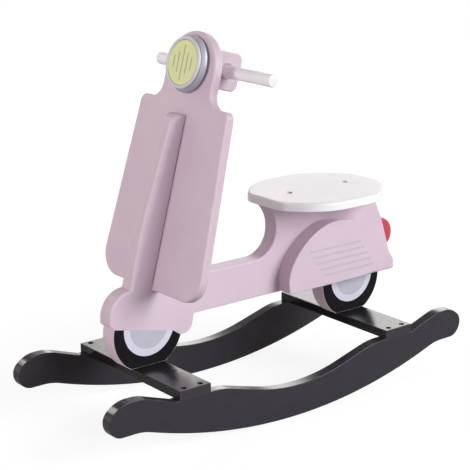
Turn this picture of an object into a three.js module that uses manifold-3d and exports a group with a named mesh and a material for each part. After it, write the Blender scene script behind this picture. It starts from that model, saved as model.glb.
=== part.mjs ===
// A child's rocking scooter in painted plywood, in millimetres.
// +X points to the rear, +Z up, and y = 0 is the middle plane; the left side is at -Y.
// The origin lies on the floor, midway along the two curved runners.
// A profile board stands on two cross-boards and carries the leg shield, the cowls and the seat.

import * as THREE from "three";
import { mergeVertices } from "three/addons/utils/BufferGeometryUtils.js";
import Module from "manifold-3d";

const wasm = await Module();
wasm.setup();

const degrees = THREE.MathUtils.degToRad;

// Fits and facets

const gap = 0.3; // between pieces that are cut to each other
const overrun = 6; // of a cutting shape past the piece that it cuts
const samePoint = 0.001; // outline points nearer than this are one
const facetAngle = degrees(9); // turned by one facet of a rounded corner
const roundSides = 32; // of a turned piece
const screwSides = 14; // of a screw and its hole
const printSides = 48; // of a printed circle
const rockFacets = 23; // along a runner's sole, odd so that the middle one lies flat

// Runners: two boards that curve up at both ends

const runner = {
  length: 755,
  thickness: 18,
  landHeight: 86.5, // of the flat lands under the cross-boards
  landMargin: 2.8, // land outside a cross-board
  landRun: 18.9, // land inside a cross-board, before the top dips
  landInnerRadius: 135,
  landOuterRadius: 12,
  middleHeight: 40.7, // where the two slopes of the dip would meet
  middleRadius: 337,
  rockRadius: 936, // of the sole
  soleInset: 77.5, // end of the sole's arc, inside the tip
  hornRunShare: 0.5175, // of the way from the land's end to the tip, where the horn's top is level
  hornRadius: 70,
  hornHeight: 53, // of the rounded horn at each end
  hornLift: 5.3, // of the horn's underside above the end of the sole
  noseRunShare: 0.1956, // of the same way, where the horn's top falls away to its tip
  noseDrop: 18,
  noseTopRadius: 45,
  noseRadius: 22,
  noseBottomRadius: 25,
  heelRadius: 95,
  edge: 1.5,
};

// Cross-boards, their ends flush with the runners' outer faces

const deck = {
  length: 270,
  width: 60,
  thickness: 15,
  screwInset: 14.2, // from a long edge
  screwEndInset: 9, // from an end
  edge: 1,
};

// Wheels: round lobes of the profile board, cut flat where they stand

const wheel = {
  base: 440,
  midpoint: 2, // of the two axles, behind the runners' middle
  radius: 67,
  flatDepth: 9.5, // cut off below, where they stand on the cross-boards
};

// Profile board: wheel lobes, fender, rib, floor and seat column in one piece

const board = { thickness: 29, edge: 1 };

const floor = {
  aboveAxle: 9.5, // underside above the wheel centres
  depth: 65,
};

const fender = {
  noseRadius: 41,
  overhang: 5.6, // of the nose ahead of the wheel
  noseAbove: 31, // nose centre above the axle
  throatRadius: 5, // where the rib rises from the nose
  tipAbove: 18.5, // lower tip above the axle
  tipRadius: 7,
  lipFallShare: 0.214, // fall of the lip per length to the rear
  printAbove: 15, // painted lip above the axle, at the front of the wheel
  printTurn: 46.8, // behind the axle, where the painted lip turns down
  heelBelow: 20.5, // heel below the axle
  heelReach: 85.9, // heel behind the axle
  heelTopReach: 90.9,
  heelRadius: 17,
  heelTopRadius: 5,
};

const rib = {
  topBelow: 19, // its top below the shield's shoulders
  topDepth: 24, // in front of the shield
  topRadius: 17,
  knee: 217,
  kneeDepth: 39.5,
  kneeRadius: 600,
};

const column = {
  height: 84.5, // from the floor to the seat
  faceAhead: 177, // front face ahead of the rear axle
  faceRadius: 44, // at the floor
  faceRise: 61.4, // from the floor to where the face leans forward
  throatRadius: 45,
  topAhead: 192, // front of its top ahead of the rear axle
};

const tail = {
  bottomReach: 79, // behind the rear axle
  topReach: 19.5,
  reachShares: [0.01, 0.23, 0.59], // of the way from the bottom reach to the top reach
  heightShares: [0.065, 0.24, 0.67], // of the way from the floor's underside to the seat
  radii: [12, 60, 150], // of those three bends, lowest first
  cornerRadius: 5,
};

// Cowls: one board on each side of the seat column, with a recess that fades out to the rear

const cowl = {
  thickness: 29,
  lift: 1.7, // of its lower edge above the floor's underside
  reachAhead: 171, // front edge ahead of the rear axle
  footBack: 3, // lower front corner behind that edge
  footRadius: 4,
  springHeight: 20, // where the front edge leaves the vertical
  springHandle: 38,
  crestAhead: 62, // highest point ahead of the rear axle
  crestHeight: 111, // above the lower edge
  crestHandle: 57,
  rampStart: 94, // ahead of the rear axle, where the recess starts to fade out
  rampEnd: 22,
  rampLip: 0.8, // thickness at the start of the ramp
  rampSteps: 14,
  crestFallShare: 0.12, // fall of the crest per length to the rear
  edge: 2,
};

const stripe = {
  count: 5,
  length: 119.5,
  width: 3,
  pitch: 11.7,
  shift: 8.4, // of each stripe to the rear of the one above
  topRise: 65.8, // highest stripe above the cowl's lower edge
  startBack: 45.5, // its start behind the cowl's front edge
};

// Leg shield: a board that leans back behind the rib

const shield = {
  thickness: 16,
  lean: degrees(14.45),
  footAhead: 24.6, // front plane ahead of the front axle, at the cross-board's top
  bottom: 127, // lower edge, up the slope from the cross-board
  length: 408.6, // from the lower edge to the top of the round head
  bottomHalfWidth: 129.4,
  cornerRadius: 40,
  shoulderHalfWidth: 109.1,
  shoulderDrop: 51, // shoulders below the centre of the head
  shoulderRadius: 12,
  neckRadius: 24,
  headRadius: 60.6,
  edge: 3,
};

// Headlight on the shield's head

const lamp = {
  rise: 8.2, // above the centre of the shield's head
  baseRadius: 45,
  baseDepth: 8,
  bodyStep: 2, // body inside the base
  bodyDepth: 14,
  rimStep: 2, // rim inside the body
  rimWidth: 5.7,
  rimDepth: 3.3,
  rimEdge: 1,
  lensDepth: 2.6,
  grooveDepth: 1,
  grooveWidth: 1.8,
  groovePitchShare: 0.3, // of the lens radius, and so are the half lengths
  grooveHalfShares: [0.8, 0.471, 0.286], // the middle groove first
};

// Handlebar: a block behind the shield's head, with a dowel through it

const block = {
  depth: 60,
  width: 60,
  height: 60,
  radius: 12,
  edge: 2,
};

const dowel = {
  radius: 10,
  length: 282,
  edge: 2,
  setback: 32.7, // axis behind the shield
};

// Seat board

const seat = {
  thickness: 15,
  overhang: 1, // in front of the column's top
  length: 239.5,
  halfWidth: 98.5,
  lengthShares: [0, 0.23, 0.75, 1], // where the outline bends, front first
  widthShares: [0.42, 1, 1, 0.39],
  radii: [30, 110, 90, 45],
  edge: 4,
  screwStart: 56.3, // first screw behind the front edge
  screwSpacing: 127,
};

// Tail light: a disc cut by the tail, glued to it

const light = {
  radius: 28.5,
  centreBehind: 12, // behind the tail's edge
  waistRise: 19.5, // up the edge from the tail's waist
  edge: 3,
};

// Prints on the wheels and cowls

const print = {
  thickness: 0.3,
  tyreInset: 1, // tyre inside the wheel's edge
  rimShare: 0.727, // of the wheel's radius
  hubShare: 0.552,
  centreAboveShare: 0.104, // centre of the rim above the axle
  centreBackShare: 0.022,
};

// Screws, each head in a sunk round hole

const deckScrew = { headRadius: 4, headHeight: 4, shankRadius: 2, length: 45, sink: 2.5 };
const seatScrew = { headRadius: 5, headHeight: 4, shankRadius: 2.5, length: 45, sink: 2.5 };
const standScrew = { headRadius: 5, headHeight: 4, shankRadius: 2.5, length: 45, sink: 1 };
const shieldScrew = { headRadius: 4.5, headHeight: 3.5, shankRadius: 2.2, length: 32, sink: 1 };
const blockScrew = { headRadius: 4.5, headHeight: 3.5, shankRadius: 2.2, length: 36, sink: 0.5 };
const screwPlaces = {
  standSpacing: 36, // of the two screws under each wheel
  shieldShares: [0.27, 0.6, 0.9], // of the rib's height over the shield's lower edge
  blockSpacing: 40,
};

// Levels and stations

const deckTop = runner.landHeight + deck.thickness;
const axleHeight = wheel.radius - wheel.flatDepth;
const axleZ = deckTop + axleHeight;
const frontX = wheel.midpoint - wheel.base / 2;
const rearX = wheel.midpoint + wheel.base / 2;
const floorBottom = axleZ + floor.aboveAxle;
const floorTop = floorBottom + floor.depth;
const seatBottom = floorTop + column.height;
const seatTop = seatBottom + seat.thickness;
const boardFace = board.thickness / 2;
const cowlFace = boardFace + cowl.thickness;
const cowlBottom = floorBottom + cowl.lift;
const cowlFront = rearX - cowl.reachAhead;
const seatFront = rearX - column.topAhead - seat.overhang;
const headCentre = shield.bottom + shield.length - shield.headRadius;
const shoulderTop = headCentre - shield.shoulderDrop;
const ribTop = shoulderTop - rib.topBelow;
const lampCentre = headCentre + lamp.rise;

// Materials

function finish(color, roughness, metalness = 0) {
  return new THREE.MeshStandardMaterial({ color, roughness, metalness });
}

const finishes = {
  pinkPaint: finish("#dcc6d6", 0.5),
  blackPaint: finish("#3b383c", 0.35),
  seatPaint: finish("#f6f3f5", 0.45),
  tyrePrint: finish("#222226", 0.5),
  rimPrint: finish("#d8d6e4", 0.45),
  hubPrint: finish("#bbbbc8", 0.45),
  stripePrint: finish("#c6b9cb", 0.5),
  silverPaint: finish("#b4b4be", 0.35, 0.6),
  lensPaint: finish("#d6d99a", 0.5),
  redPaint: finish("#c9525e", 0.45),
  dowelPaint: finish("#efedef", 0.45),
  screwSteel: finish("#4c4a50", 0.4, 0.8),
};

// Outlines

// Points of an arc, as [x, z] pairs, turning counter-clockwise when the end angle is larger.
function arcPoints(centre, radius, start, end) {
  const steps = Math.max(1, Math.round(Math.abs(end - start) / facetAngle));
  const points = [];
  for (let step = 0; step <= steps; step += 1) {
    const angle = start + ((end - start) * step) / steps;
    points.push([centre[0] + radius * Math.cos(angle), centre[1] + radius * Math.sin(angle)]);
  }
  return points;
}

// Half the chord of a circle, at an offset from its centre.
function halfChord(radius, offset) {
  return Math.sqrt(radius * radius - offset * offset);
}

// A closed outline from [x, z, radius] vertices; a radius is limited by the sides beside it.
function roundedOutline(vertices) {
  const count = vertices.length;
  const points = vertices.map(([x, z]) => new THREE.Vector2(x, z));
  const corners = points.map((point, index) => {
    const toPrevious = points[(index + count - 1) % count].clone().sub(point);
    const toNext = points[(index + 1) % count].clone().sub(point);
    const inside = Math.abs(Math.atan2(toPrevious.cross(toNext), toPrevious.dot(toNext)));
    const turn = Math.PI - inside;
    const radius = vertices[index][2] ?? 0;
    return { point, toPrevious, toNext, turn, tangent: radius * Math.tan(turn / 2) };
  });
  const outline = [];
  corners.forEach((corner, index) => {
    if (corner.tangent === 0) {
      outline.push(corner.point);
      return;
    }
    const before = corners[(index + count - 1) % count].tangent + corner.tangent;
    const after = corners[(index + 1) % count].tangent + corner.tangent;
    const room = Math.min(1, corner.toPrevious.length() / before, corner.toNext.length() / after);
    const tangent = corner.tangent * room;
    const start = corner.point.clone().add(corner.toPrevious.clone().setLength(tangent));
    const end = corner.point.clone().add(corner.toNext.clone().setLength(tangent));
    const steps = Math.max(2, Math.ceil(corner.turn / facetAngle));
    const left = corner.toPrevious.cross(corner.toNext) < 0 ? 1 : -1;
    const radius = tangent / Math.tan(corner.turn / 2);
    const inward = corner.toPrevious.clone().rotateAround(new THREE.Vector2(), (-left * Math.PI) / 2);
    const centre = start.clone().add(inward.setLength(radius));
    for (let step = 0; step <= steps; step += 1) {
      const angle = (left * corner.turn * step) / steps;
      outline.push(step === steps ? end : start.clone().rotateAround(centre, angle));
    }
  });
  return outline.filter((point, index) => {
    const previous = outline[(index + outline.length - 1) % outline.length];
    return point.distanceTo(previous) > samePoint;
  });
}

function mirrored(vertices) {
  return vertices.map(([x, z, radius]) => [-x, z, radius]).reverse();
}

// Solids

function extruded(outline, thickness, edge) {
  const bevel = { bevelEnabled: edge > 0, bevelThickness: edge, bevelSize: edge, bevelOffset: -edge };
  const shape = new THREE.Shape(outline);
  const depth = thickness - 2 * edge;
  const geometry = new THREE.ExtrudeGeometry(shape, { depth, bevelSegments: 2, ...bevel });
  return geometry.translate(0, 0, -depth / 2);
}

// A board whose outline lies in the XZ plane, centred on y = 0.
function sidePlate(outline, thickness, edge = 0) {
  return extruded(outline, thickness, edge).rotateX(Math.PI / 2);
}

// A board whose outline lies in the XY plane, centred on z = 0.
function levelPlate(outline, thickness, edge = 0) {
  return extruded(outline, thickness, edge);
}

// A board whose outline lies in the YZ plane, centred on x = 0.
function facePlate(outline, thickness, edge = 0) {
  const turn = new THREE.Matrix4().set(0, 0, 1, 0, 1, 0, 0, 0, 0, 1, 0, 0, 0, 0, 0, 1);
  return extruded(outline, thickness, edge).applyMatrix4(turn);
}

// Only the positions, merged, without the collapsed triangles at a turned piece's poles.
function bareGeometry(geometry) {
  const bare = geometry.clone();
  bare.deleteAttribute("normal");
  bare.deleteAttribute("uv");
  const merged = mergeVertices(bare);
  const corners = merged.index.array;
  const kept = [];
  for (let first = 0; first < corners.length; first += 3) {
    const [a, b, c] = corners.slice(first, first + 3);
    if (a !== b && b !== c && c !== a) {
      kept.push(a, b, c);
    }
  }
  merged.setIndex(kept);
  return merged;
}

function toSolid(geometry) {
  const bare = bareGeometry(geometry);
  const vertProperties = new Float32Array(bare.attributes.position.array);
  const triVerts = new Uint32Array(bare.index.array);
  return new wasm.Manifold(new wasm.Mesh({ numProp: 3, vertProperties, triVerts }));
}

function toGeometry(solid) {
  const mesh = solid.getMesh();
  const geometry = new THREE.BufferGeometry();
  geometry.setAttribute("position", new THREE.BufferAttribute(mesh.vertProperties, 3));
  geometry.setIndex(new THREE.BufferAttribute(mesh.triVerts, 1));
  geometry.computeVertexNormals();
  return geometry;
}

function cut(geometry, cutters) {
  return toGeometry(cutters.reduce((solid, cutter) => solid.subtract(toSolid(cutter)), toSolid(geometry)));
}

// A solid turned about the Z axis from [radius, height] pairs that run upwards from the axis.
function turned(profile, sides = roundSides) {
  const points = profile.map(([radius, height]) => new THREE.Vector2(radius, height));
  return bareGeometry(new THREE.LatheGeometry(points, sides).rotateX(Math.PI / 2));
}

// Screws point along -Z from a surface at z = 0.
function screwShape(size, play, headTop) {
  const head = size.headRadius + play;
  const shank = size.shankRadius + play;
  const underHead = -size.sink - size.headHeight - play;
  const tip = -size.sink - size.length - play;
  const shankSide = [[0, tip], [shank, tip], [shank, underHead]];
  const headSide = [[head, underHead], [head, headTop], [0, headTop]];
  return turned([...shankSide, ...headSide], screwSides);
}

function screwBody(size) {
  return screwShape(size, 0, -size.sink);
}

function screwHole(size) {
  return screwShape(size, gap, overrun);
}

// A place on a surface, with the Z axis of the piece along the surface's outward direction.
function placed(x, y, z, outward) {
  const turn = new THREE.Quaternion().setFromUnitVectors(new THREE.Vector3(0, 0, 1), outward);
  return new THREE.Matrix4().compose(new THREE.Vector3(x, y, z), turn, new THREE.Vector3(1, 1, 1));
}

const upward = new THREE.Vector3(0, 0, 1);
const downward = new THREE.Vector3(0, 0, -1);
const forward = new THREE.Vector3(-1, 0, 0);
const rearward = new THREE.Vector3(1, 0, 0);

// The leaning frame: its origin is where the shield's front plane meets the cross-boards' top level,
// its Z axis runs up the shield and its X axis points back through it.

const leaning = new THREE.Group();
leaning.position.set(frontX - shield.footAhead, 0, deckTop);
leaning.rotation.y = shield.lean;
leaning.updateMatrixWorld(true);

// A point of the leaning frame, in front of the shield and up its slope, in the XZ plane.
function leaningPoint(ahead, up) {
  const point = new THREE.Vector3(-ahead, 0, up).applyMatrix4(leaning.matrixWorld);
  return [point.x, point.z];
}

const scooter = new THREE.Group();
scooter.add(leaning);

function addPiece(name, geometry, material, parent = scooter) {
  const mesh = new THREE.Mesh(geometry, material);
  mesh.name = name;
  parent.add(mesh);
  return mesh;
}

// Screw places

const ends = [
  { end: "front", x: frontX },
  { end: "rear", x: rearX },
];
const sides = [
  { hand: "left", side: -1 },
  { hand: "right", side: 1 },
];
const pair = [
  { letter: "a", edge: -1 },
  { letter: "b", edge: 1 },
];

const deckScrews = ends.flatMap(({ end, x }) =>
  sides.flatMap(({ hand, side }) =>
    pair.map(({ letter, edge }) => ({
      name: `deck_screw_${end}_${hand}_${letter}`,
      place: placed(
        x + edge * (deck.width / 2 - deck.screwInset),
        side * (deck.length / 2 - deck.screwEndInset),
        deckTop,
        upward,
      ),
    })),
  ),
);

const standScrews = ends.flatMap(({ end, x }) =>
  pair.map(({ letter, edge }) => ({
    name: `stand_screw_${end}_${letter}`,
    place: placed(x + (edge * screwPlaces.standSpacing) / 2, 0, runner.landHeight, downward),
  })),
);

const seatScrews = [0, 1].map((index) => ({
  name: `seat_screw_${index === 0 ? "front" : "rear"}`,
  place: placed(seatFront + seat.screwStart + index * seat.screwSpacing, 0, seatTop, upward),
}));

const shieldScrews = screwPlaces.shieldShares.map((share, index) => ({
  name: `shield_screw_${index + 1}`,
  place: placed(shield.thickness, 0, shield.bottom + share * (ribTop - shield.bottom), rearward),
}));

const blockScrews = [-1, 1].map((side) => ({
  name: `block_screw_${side < 0 ? "lower" : "upper"}`,
  place: placed(0, 0, lampCentre + (side * screwPlaces.blockSpacing) / 2, forward),
}));

function holes(screws, size, frame = new THREE.Matrix4()) {
  return screws.map(({ place }) => screwHole(size).applyMatrix4(place).applyMatrix4(frame));
}

function addScrews(screws, size, parent = scooter) {
  screws.forEach(({ name, place }) => {
    addPiece(name, screwBody(size).applyMatrix4(place), finishes.screwSteel, parent);
  });
}

// Runners

function runnerOutline() {
  const reach = runner.length / 2;
  const rockReach = reach - runner.soleInset;
  const rockAngle = Math.asin(rockReach / runner.rockRadius);
  // The sole is lowered until its flat middle facet lies on the floor.
  const facetDepth = runner.rockRadius * (1 - Math.cos(rockAngle / rockFacets));
  const soleHeight = (angle) => runner.rockRadius * (1 - Math.cos(angle)) - facetDepth;
  const hornBottom = soleHeight(rockAngle) + runner.hornLift;
  const hornTop = hornBottom + runner.hornHeight;
  const boardReach = Math.abs(wheel.midpoint) + deck.width / 2;
  const landOuter = wheel.base / 2 + boardReach + runner.landMargin;
  const landInner = wheel.base / 2 - boardReach - runner.landRun;
  const hornRun = runner.hornRunShare * (reach - landOuter);
  const noseRun = runner.noseRunShare * (reach - landOuter);
  // The fillet beside the land ends before the cross-board begins.
  const slope = Math.abs(Math.atan2(hornTop - runner.landHeight, hornRun));
  const landOuterRadius = Math.min(runner.landOuterRadius, runner.landMargin / Math.tan(slope / 2));
  const half = [
    [rockReach + runner.hornLift / Math.tan(rockAngle), hornBottom, runner.heelRadius],
    [reach, hornBottom, runner.noseBottomRadius],
    [reach, hornTop - runner.noseDrop, runner.noseRadius],
    [reach - noseRun, hornTop, runner.noseTopRadius],
    [landOuter + hornRun, hornTop, runner.hornRadius],
    [landOuter, runner.landHeight, landOuterRadius],
    [landInner, runner.landHeight, runner.landInnerRadius],
  ];
  const sole = [];
  for (let facet = 0; facet <= rockFacets; facet += 1) {
    const angle = rockAngle * ((2 * facet) / rockFacets - 1);
    sole.push([runner.rockRadius * Math.sin(angle), Math.max(0, soleHeight(angle))]);
  }
  const middle = [0, runner.middleHeight, runner.middleRadius];
  return roundedOutline([...sole, ...half, middle, ...mirrored(half)]);
}

function addRunners() {
  const plain = sidePlate(runnerOutline(), runner.thickness, runner.edge);
  const offset = deck.length / 2 - runner.thickness / 2;
  sides.forEach(({ hand, side }) => {
    const drilled = cut(plain.clone().translate(0, side * offset, 0), holes(deckScrews, deckScrew));
    addPiece(`runner_${hand}`, drilled, finishes.blackPaint);
  });
}

// Cross-boards

function addCrossBoards() {
  const halfWidth = deck.width / 2;
  const outline = roundedOutline([
    [-halfWidth, 0],
    [halfWidth, 0],
    [halfWidth, deck.thickness],
    [-halfWidth, deck.thickness],
  ]);
  const plain = sidePlate(outline, deck.length, deck.edge);
  const cutters = [...holes(deckScrews, deckScrew), ...holes(standScrews, standScrew)];
  ends.forEach(({ end, x }) => {
    const board = plain.clone().translate(x, 0, runner.landHeight);
    addPiece(`cross_board_${end}`, cut(board, cutters), finishes.blackPaint);
  });
}

// Profile board

function leaningHeight(ahead, height) {
  const sine = Math.sin(shield.lean);
  return leaningPoint(ahead, (height - deckTop - ahead * sine) / Math.cos(shield.lean));
}

// Where a straight line from a point first meets a circle.
function circleEntry(centre, radius, from, direction) {
  const along = new THREE.Vector2(...direction).normalize();
  const start = new THREE.Vector2(...from);
  const offset = start.clone().sub(new THREE.Vector2(...centre));
  const nearest = offset.dot(along);
  const distance = -nearest - Math.sqrt(nearest * nearest - offset.lengthSq() + radius * radius);
  return start.addScaledVector(along, distance).toArray();
}

function wheelArc(centreX, start, end) {
  const points = arcPoints([centreX, axleZ], wheel.radius, start, end);
  return points.map(([x, z]) => [x, Math.max(z, deckTop)]);
}

const lip = {
  tip: [frontX - wheel.radius - fender.overhang, axleZ + fender.tipAbove],
  fall: [1, -fender.lipFallShare],
  heel: [frontX + halfChord(wheel.radius, fender.heelBelow), axleZ - fender.heelBelow],
};

// The tail's outline from a lower corner up to the seat.
function tailVertices(cornerZ) {
  const bends = tail.reachShares.map((share, index) => [
    rearX + THREE.MathUtils.lerp(tail.bottomReach, tail.topReach, share),
    THREE.MathUtils.lerp(floorBottom, seatBottom, tail.heightShares[index]),
    tail.radii[index],
  ]);
  const corner = [rearX + tail.bottomReach, cornerZ, tail.cornerRadius];
  return [corner, ...bends, [rearX + tail.topReach, seatBottom]];
}

function boardVertices() {
  const flatAngle = Math.asin(axleHeight / wheel.radius);
  const heelAngle = Math.asin(fender.heelBelow / wheel.radius);
  const floorAngle = Math.asin(floor.aboveAxle / wheel.radius);
  const lipEnd = circleEntry([frontX, axleZ], wheel.radius, lip.tip, lip.fall);
  const lipAngle = Math.atan2(lipEnd[1] - axleZ, lipEnd[0] - frontX);
  const nose = [lip.tip[0] + fender.noseRadius, axleZ + fender.noseAbove];
  const noseTop = [nose[0], nose[1] + fender.noseRadius, fender.throatRadius];
  const slotFloor = shield.bottom - gap;
  const slotBack = -shield.thickness - gap;
  const faceX = rearX - column.faceAhead;
  return [
    ...wheelArc(frontX, lipAngle, Math.PI + flatAngle),
    ...wheelArc(frontX, -flatAngle, -heelAngle),
    [frontX + fender.heelReach, axleZ - fender.heelBelow, fender.heelRadius],
    [frontX + fender.heelTopReach, floorBottom, fender.heelTopRadius],
    ...wheelArc(rearX, Math.PI - floorAngle, Math.PI + flatAngle),
    ...wheelArc(rearX, -flatAngle, floorAngle),
    ...tailVertices(floorBottom),
    [rearX - column.topAhead, seatBottom],
    [faceX, floorTop + column.faceRise, column.throatRadius],
    [faceX, floorTop, column.faceRadius],
    leaningHeight(slotBack, floorTop),
    leaningPoint(slotBack, slotFloor),
    leaningPoint(gap, slotFloor),
    leaningPoint(gap, ribTop),
    [...leaningPoint(rib.topDepth, ribTop), rib.topRadius],
    [...leaningPoint(rib.kneeDepth, rib.knee), rib.kneeRadius],
    noseTop,
    ...arcPoints(nose, fender.noseRadius, Math.PI / 2, Math.PI).slice(1),
    [...lip.tip, fender.tipRadius],
  ];
}

function addProfileBoard() {
  const plain = sidePlate(roundedOutline(boardVertices()), board.thickness, board.edge);
  const cutters = [
    ...holes(standScrews, standScrew),
    ...holes(seatScrews, seatScrew),
    ...holes(shieldScrews, shieldScrew, leaning.matrixWorld),
  ];
  addPiece("profile_board", cut(plain, cutters), finishes.pinkPaint);
}

// Cowls

function cowlCrest() {
  const spring = new THREE.Vector2(cowlFront, cowlBottom + cowl.springHeight);
  const crest = new THREE.Vector2(rearX - cowl.crestAhead, cowlBottom + cowl.crestHeight);
  const curve = new THREE.CubicBezierCurve(
    spring,
    spring.clone().add(new THREE.Vector2(0, cowl.springHandle)),
    crest.clone().sub(new THREE.Vector2(cowl.crestHandle, 0)),
    crest,
  );
  return curve.getPoints(cowl.rampSteps).map((point) => point.toArray());
}

function cowlOutline() {
  const rampEndX = rearX - cowl.rampEnd;
  const crestFall = cowl.crestFallShare * (cowl.crestAhead - cowl.rampEnd);
  return roundedOutline([
    [cowlFront + cowl.footBack, cowlBottom, cowl.footRadius],
    ...tailVertices(cowlBottom),
    [rampEndX, seatBottom],
    [rampEndX, cowlBottom + cowl.crestHeight - crestFall],
    ...cowlCrest().reverse(),
  ]);
}

// The recess above the crest fades out along this slope, seen from above.
function rampOutline(side) {
  const startX = rearX - cowl.rampStart;
  const endX = rearX - cowl.rampEnd;
  const points = [[startX, side * boardFace]];
  for (let step = 0; step <= cowl.rampSteps; step += 1) {
    const share = step / cowl.rampSteps;
    const ease = THREE.MathUtils.smoothstep(share, 0, 1);
    const rise = THREE.MathUtils.lerp(cowl.rampLip, cowl.thickness, ease);
    points.push([THREE.MathUtils.lerp(startX, endX, share), side * (boardFace + rise)]);
  }
  points.push([endX + cowl.edge + gap, side * cowlFace], [endX + cowl.edge + gap, side * boardFace]);
  return roundedOutline(points);
}

function addCowls() {
  const plain = sidePlate(cowlOutline(), cowl.thickness, cowl.edge);
  const rampBottom = cowlBottom + cowl.springHeight;
  const rampHeight = seatBottom - rampBottom;
  sides.forEach(({ hand, side }) => {
    const outer = toSolid(plain.clone().translate(0, side * (boardFace + cowl.thickness / 2), 0));
    const ramp = levelPlate(rampOutline(side), rampHeight).translate(0, 0, rampBottom + rampHeight / 2);
    addPiece(`cowl_${hand}`, toGeometry(outer.add(toSolid(ramp))), finishes.pinkPaint);
  });
}

// Stripes printed on the cowls

function addStripes() {
  const bar = new THREE.BoxGeometry(stripe.length, print.thickness, stripe.width);
  sides.forEach(({ hand, side }) => {
    for (let index = 0; index < stripe.count; index += 1) {
      const mesh = addPiece(`stripe_${hand}_${index + 1}`, bar, finishes.stripePrint);
      mesh.position.set(
        cowlFront + stripe.startBack + index * stripe.shift + stripe.length / 2,
        side * (cowlFace + print.thickness / 2),
        cowlBottom + stripe.topRise - index * stripe.pitch,
      );
    }
  });
}

// Wheel prints: tyre, rim and hub on both faces of each wheel lobe

function printDisc(x, z, radius, thickness) {
  const outline = new THREE.Path().absarc(x, z, radius, 0, 2 * Math.PI).getPoints(printSides).slice(1);
  return toSolid(sidePlate(outline, thickness));
}

function frontPrintField() {
  const frontEdge = frontX - wheel.radius;
  const bottom = deckTop + gap;
  const start = [frontEdge, axleZ + fender.printAbove];
  const fall = fender.lipFallShare * (wheel.radius + fender.printTurn);
  const turn = [frontX + fender.printTurn, start[1] - fall];
  return [start, turn, lip.heel, [lip.heel[0] + overrun, bottom], [frontEdge, bottom]];
}

function rearPrintField() {
  const reach = wheel.radius + overrun;
  const bottom = deckTop + gap;
  const top = cowlBottom - gap;
  return [[rearX - reach, bottom], [rearX + reach, bottom], [rearX + reach, top], [rearX - reach, top]];
}

function addWheelPrints(end, centreX, field) {
  const window = toSolid(sidePlate(roundedOutline(field), board.thickness));
  const rimX = centreX + print.centreBackShare * wheel.radius;
  const rimZ = axleZ + print.centreAboveShare * wheel.radius;
  const rimRadius = print.rimShare * wheel.radius;
  const hubRadius = print.hubShare * wheel.radius;
  const tyreDisc = printDisc(centreX, axleZ, wheel.radius - print.tyreInset, print.thickness);
  const rimDisc = printDisc(rimX, rimZ, rimRadius, print.thickness);
  const hubDisc = printDisc(rimX, rimZ, hubRadius, print.thickness);
  const rimTool = printDisc(rimX, rimZ, rimRadius, board.thickness);
  const hubTool = printDisc(rimX, rimZ, hubRadius, board.thickness);
  const prints = {
    tyre: [tyreDisc.intersect(window).subtract(rimTool), finishes.tyrePrint],
    rim: [rimDisc.intersect(window).subtract(hubTool), finishes.rimPrint],
    hub: [hubDisc.intersect(window), finishes.hubPrint],
  };
  sides.forEach(({ hand, side }) => {
    Object.entries(prints).forEach(([part, [solid, material]]) => {
      const mesh = addPiece(`${part}_print_${end}_${hand}`, toGeometry(solid), material);
      mesh.position.y = side * (boardFace + print.thickness / 2);
    });
  });
}

// Leg shield

function shieldOutline() {
  const half = [
    [shield.bottomHalfWidth, shield.bottom, shield.cornerRadius],
    [shield.shoulderHalfWidth, shoulderTop, shield.shoulderRadius],
    [shield.headRadius, shoulderTop, shield.neckRadius],
  ];
  const head = arcPoints([0, headCentre], shield.headRadius, 0, Math.PI);
  return roundedOutline([...half, ...head, ...mirrored(half)]);
}

function addShield() {
  const plain = facePlate(shieldOutline(), shield.thickness, shield.edge);
  const seated = plain.translate(shield.thickness / 2, 0, 0);
  const cutters = [...holes(shieldScrews, shieldScrew), ...holes(blockScrews, blockScrew)];
  addPiece("leg_shield", cut(seated, cutters), finishes.pinkPaint, leaning);
}

// Headlight: its pieces are turned about an axis that points forward from the shield

function lampPiece(geometry) {
  return geometry.rotateY(-Math.PI / 2).translate(0, 0, lampCentre);
}

function grooveCutters(lensRadius) {
  const halfWidth = lamp.grooveWidth / 2;
  const pitch = lamp.groovePitchShare * lensRadius;
  const faceX = -(lamp.bodyDepth + gap + lamp.lensDepth);
  return lamp.grooveHalfShares.flatMap((halfShare, index) => {
    const halfLength = halfShare * lensRadius;
    const offsets = index === 0 ? [0] : [-index * pitch, index * pitch];
    const outline = roundedOutline([
      [-halfWidth, -halfLength, halfWidth],
      [halfWidth, -halfLength, halfWidth],
      [halfWidth, halfLength, halfWidth],
      [-halfWidth, halfLength, halfWidth],
    ]);
    const groove = facePlate(outline, 2 * lamp.grooveDepth);
    return offsets.map((offset) => groove.clone().translate(faceX, offset, lampCentre));
  });
}

function addLamp() {
  const bodyRadius = lamp.baseRadius - lamp.bodyStep;
  const housing = [
    [0, gap],
    [lamp.baseRadius, gap],
    [lamp.baseRadius, lamp.baseDepth],
    [bodyRadius, lamp.baseDepth],
    [bodyRadius, lamp.bodyDepth],
    [0, lamp.bodyDepth],
  ];
  const front = lamp.bodyDepth + gap;
  const outerRadius = bodyRadius - lamp.rimStep;
  const innerRadius = outerRadius - lamp.rimWidth;
  const rim = [
    [innerRadius, front],
    [outerRadius, front],
    [outerRadius, front + lamp.rimDepth - lamp.rimEdge],
    [outerRadius - lamp.rimEdge, front + lamp.rimDepth],
    [innerRadius, front + lamp.rimDepth],
    [innerRadius, front],
  ];
  const lensRadius = innerRadius - gap;
  const lens = [
    [0, front],
    [lensRadius, front],
    [lensRadius, front + lamp.lensDepth],
    [0, front + lamp.lensDepth],
  ];
  const cutters = grooveCutters(lensRadius);
  addPiece("headlight_housing", lampPiece(turned(housing)), finishes.silverPaint, leaning);
  addPiece("headlight_rim", lampPiece(turned(rim)), finishes.silverPaint, leaning);
  addPiece("headlight_lens", cut(lampPiece(turned(lens)), cutters), finishes.lensPaint, leaning);
}

// Handlebar

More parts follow.
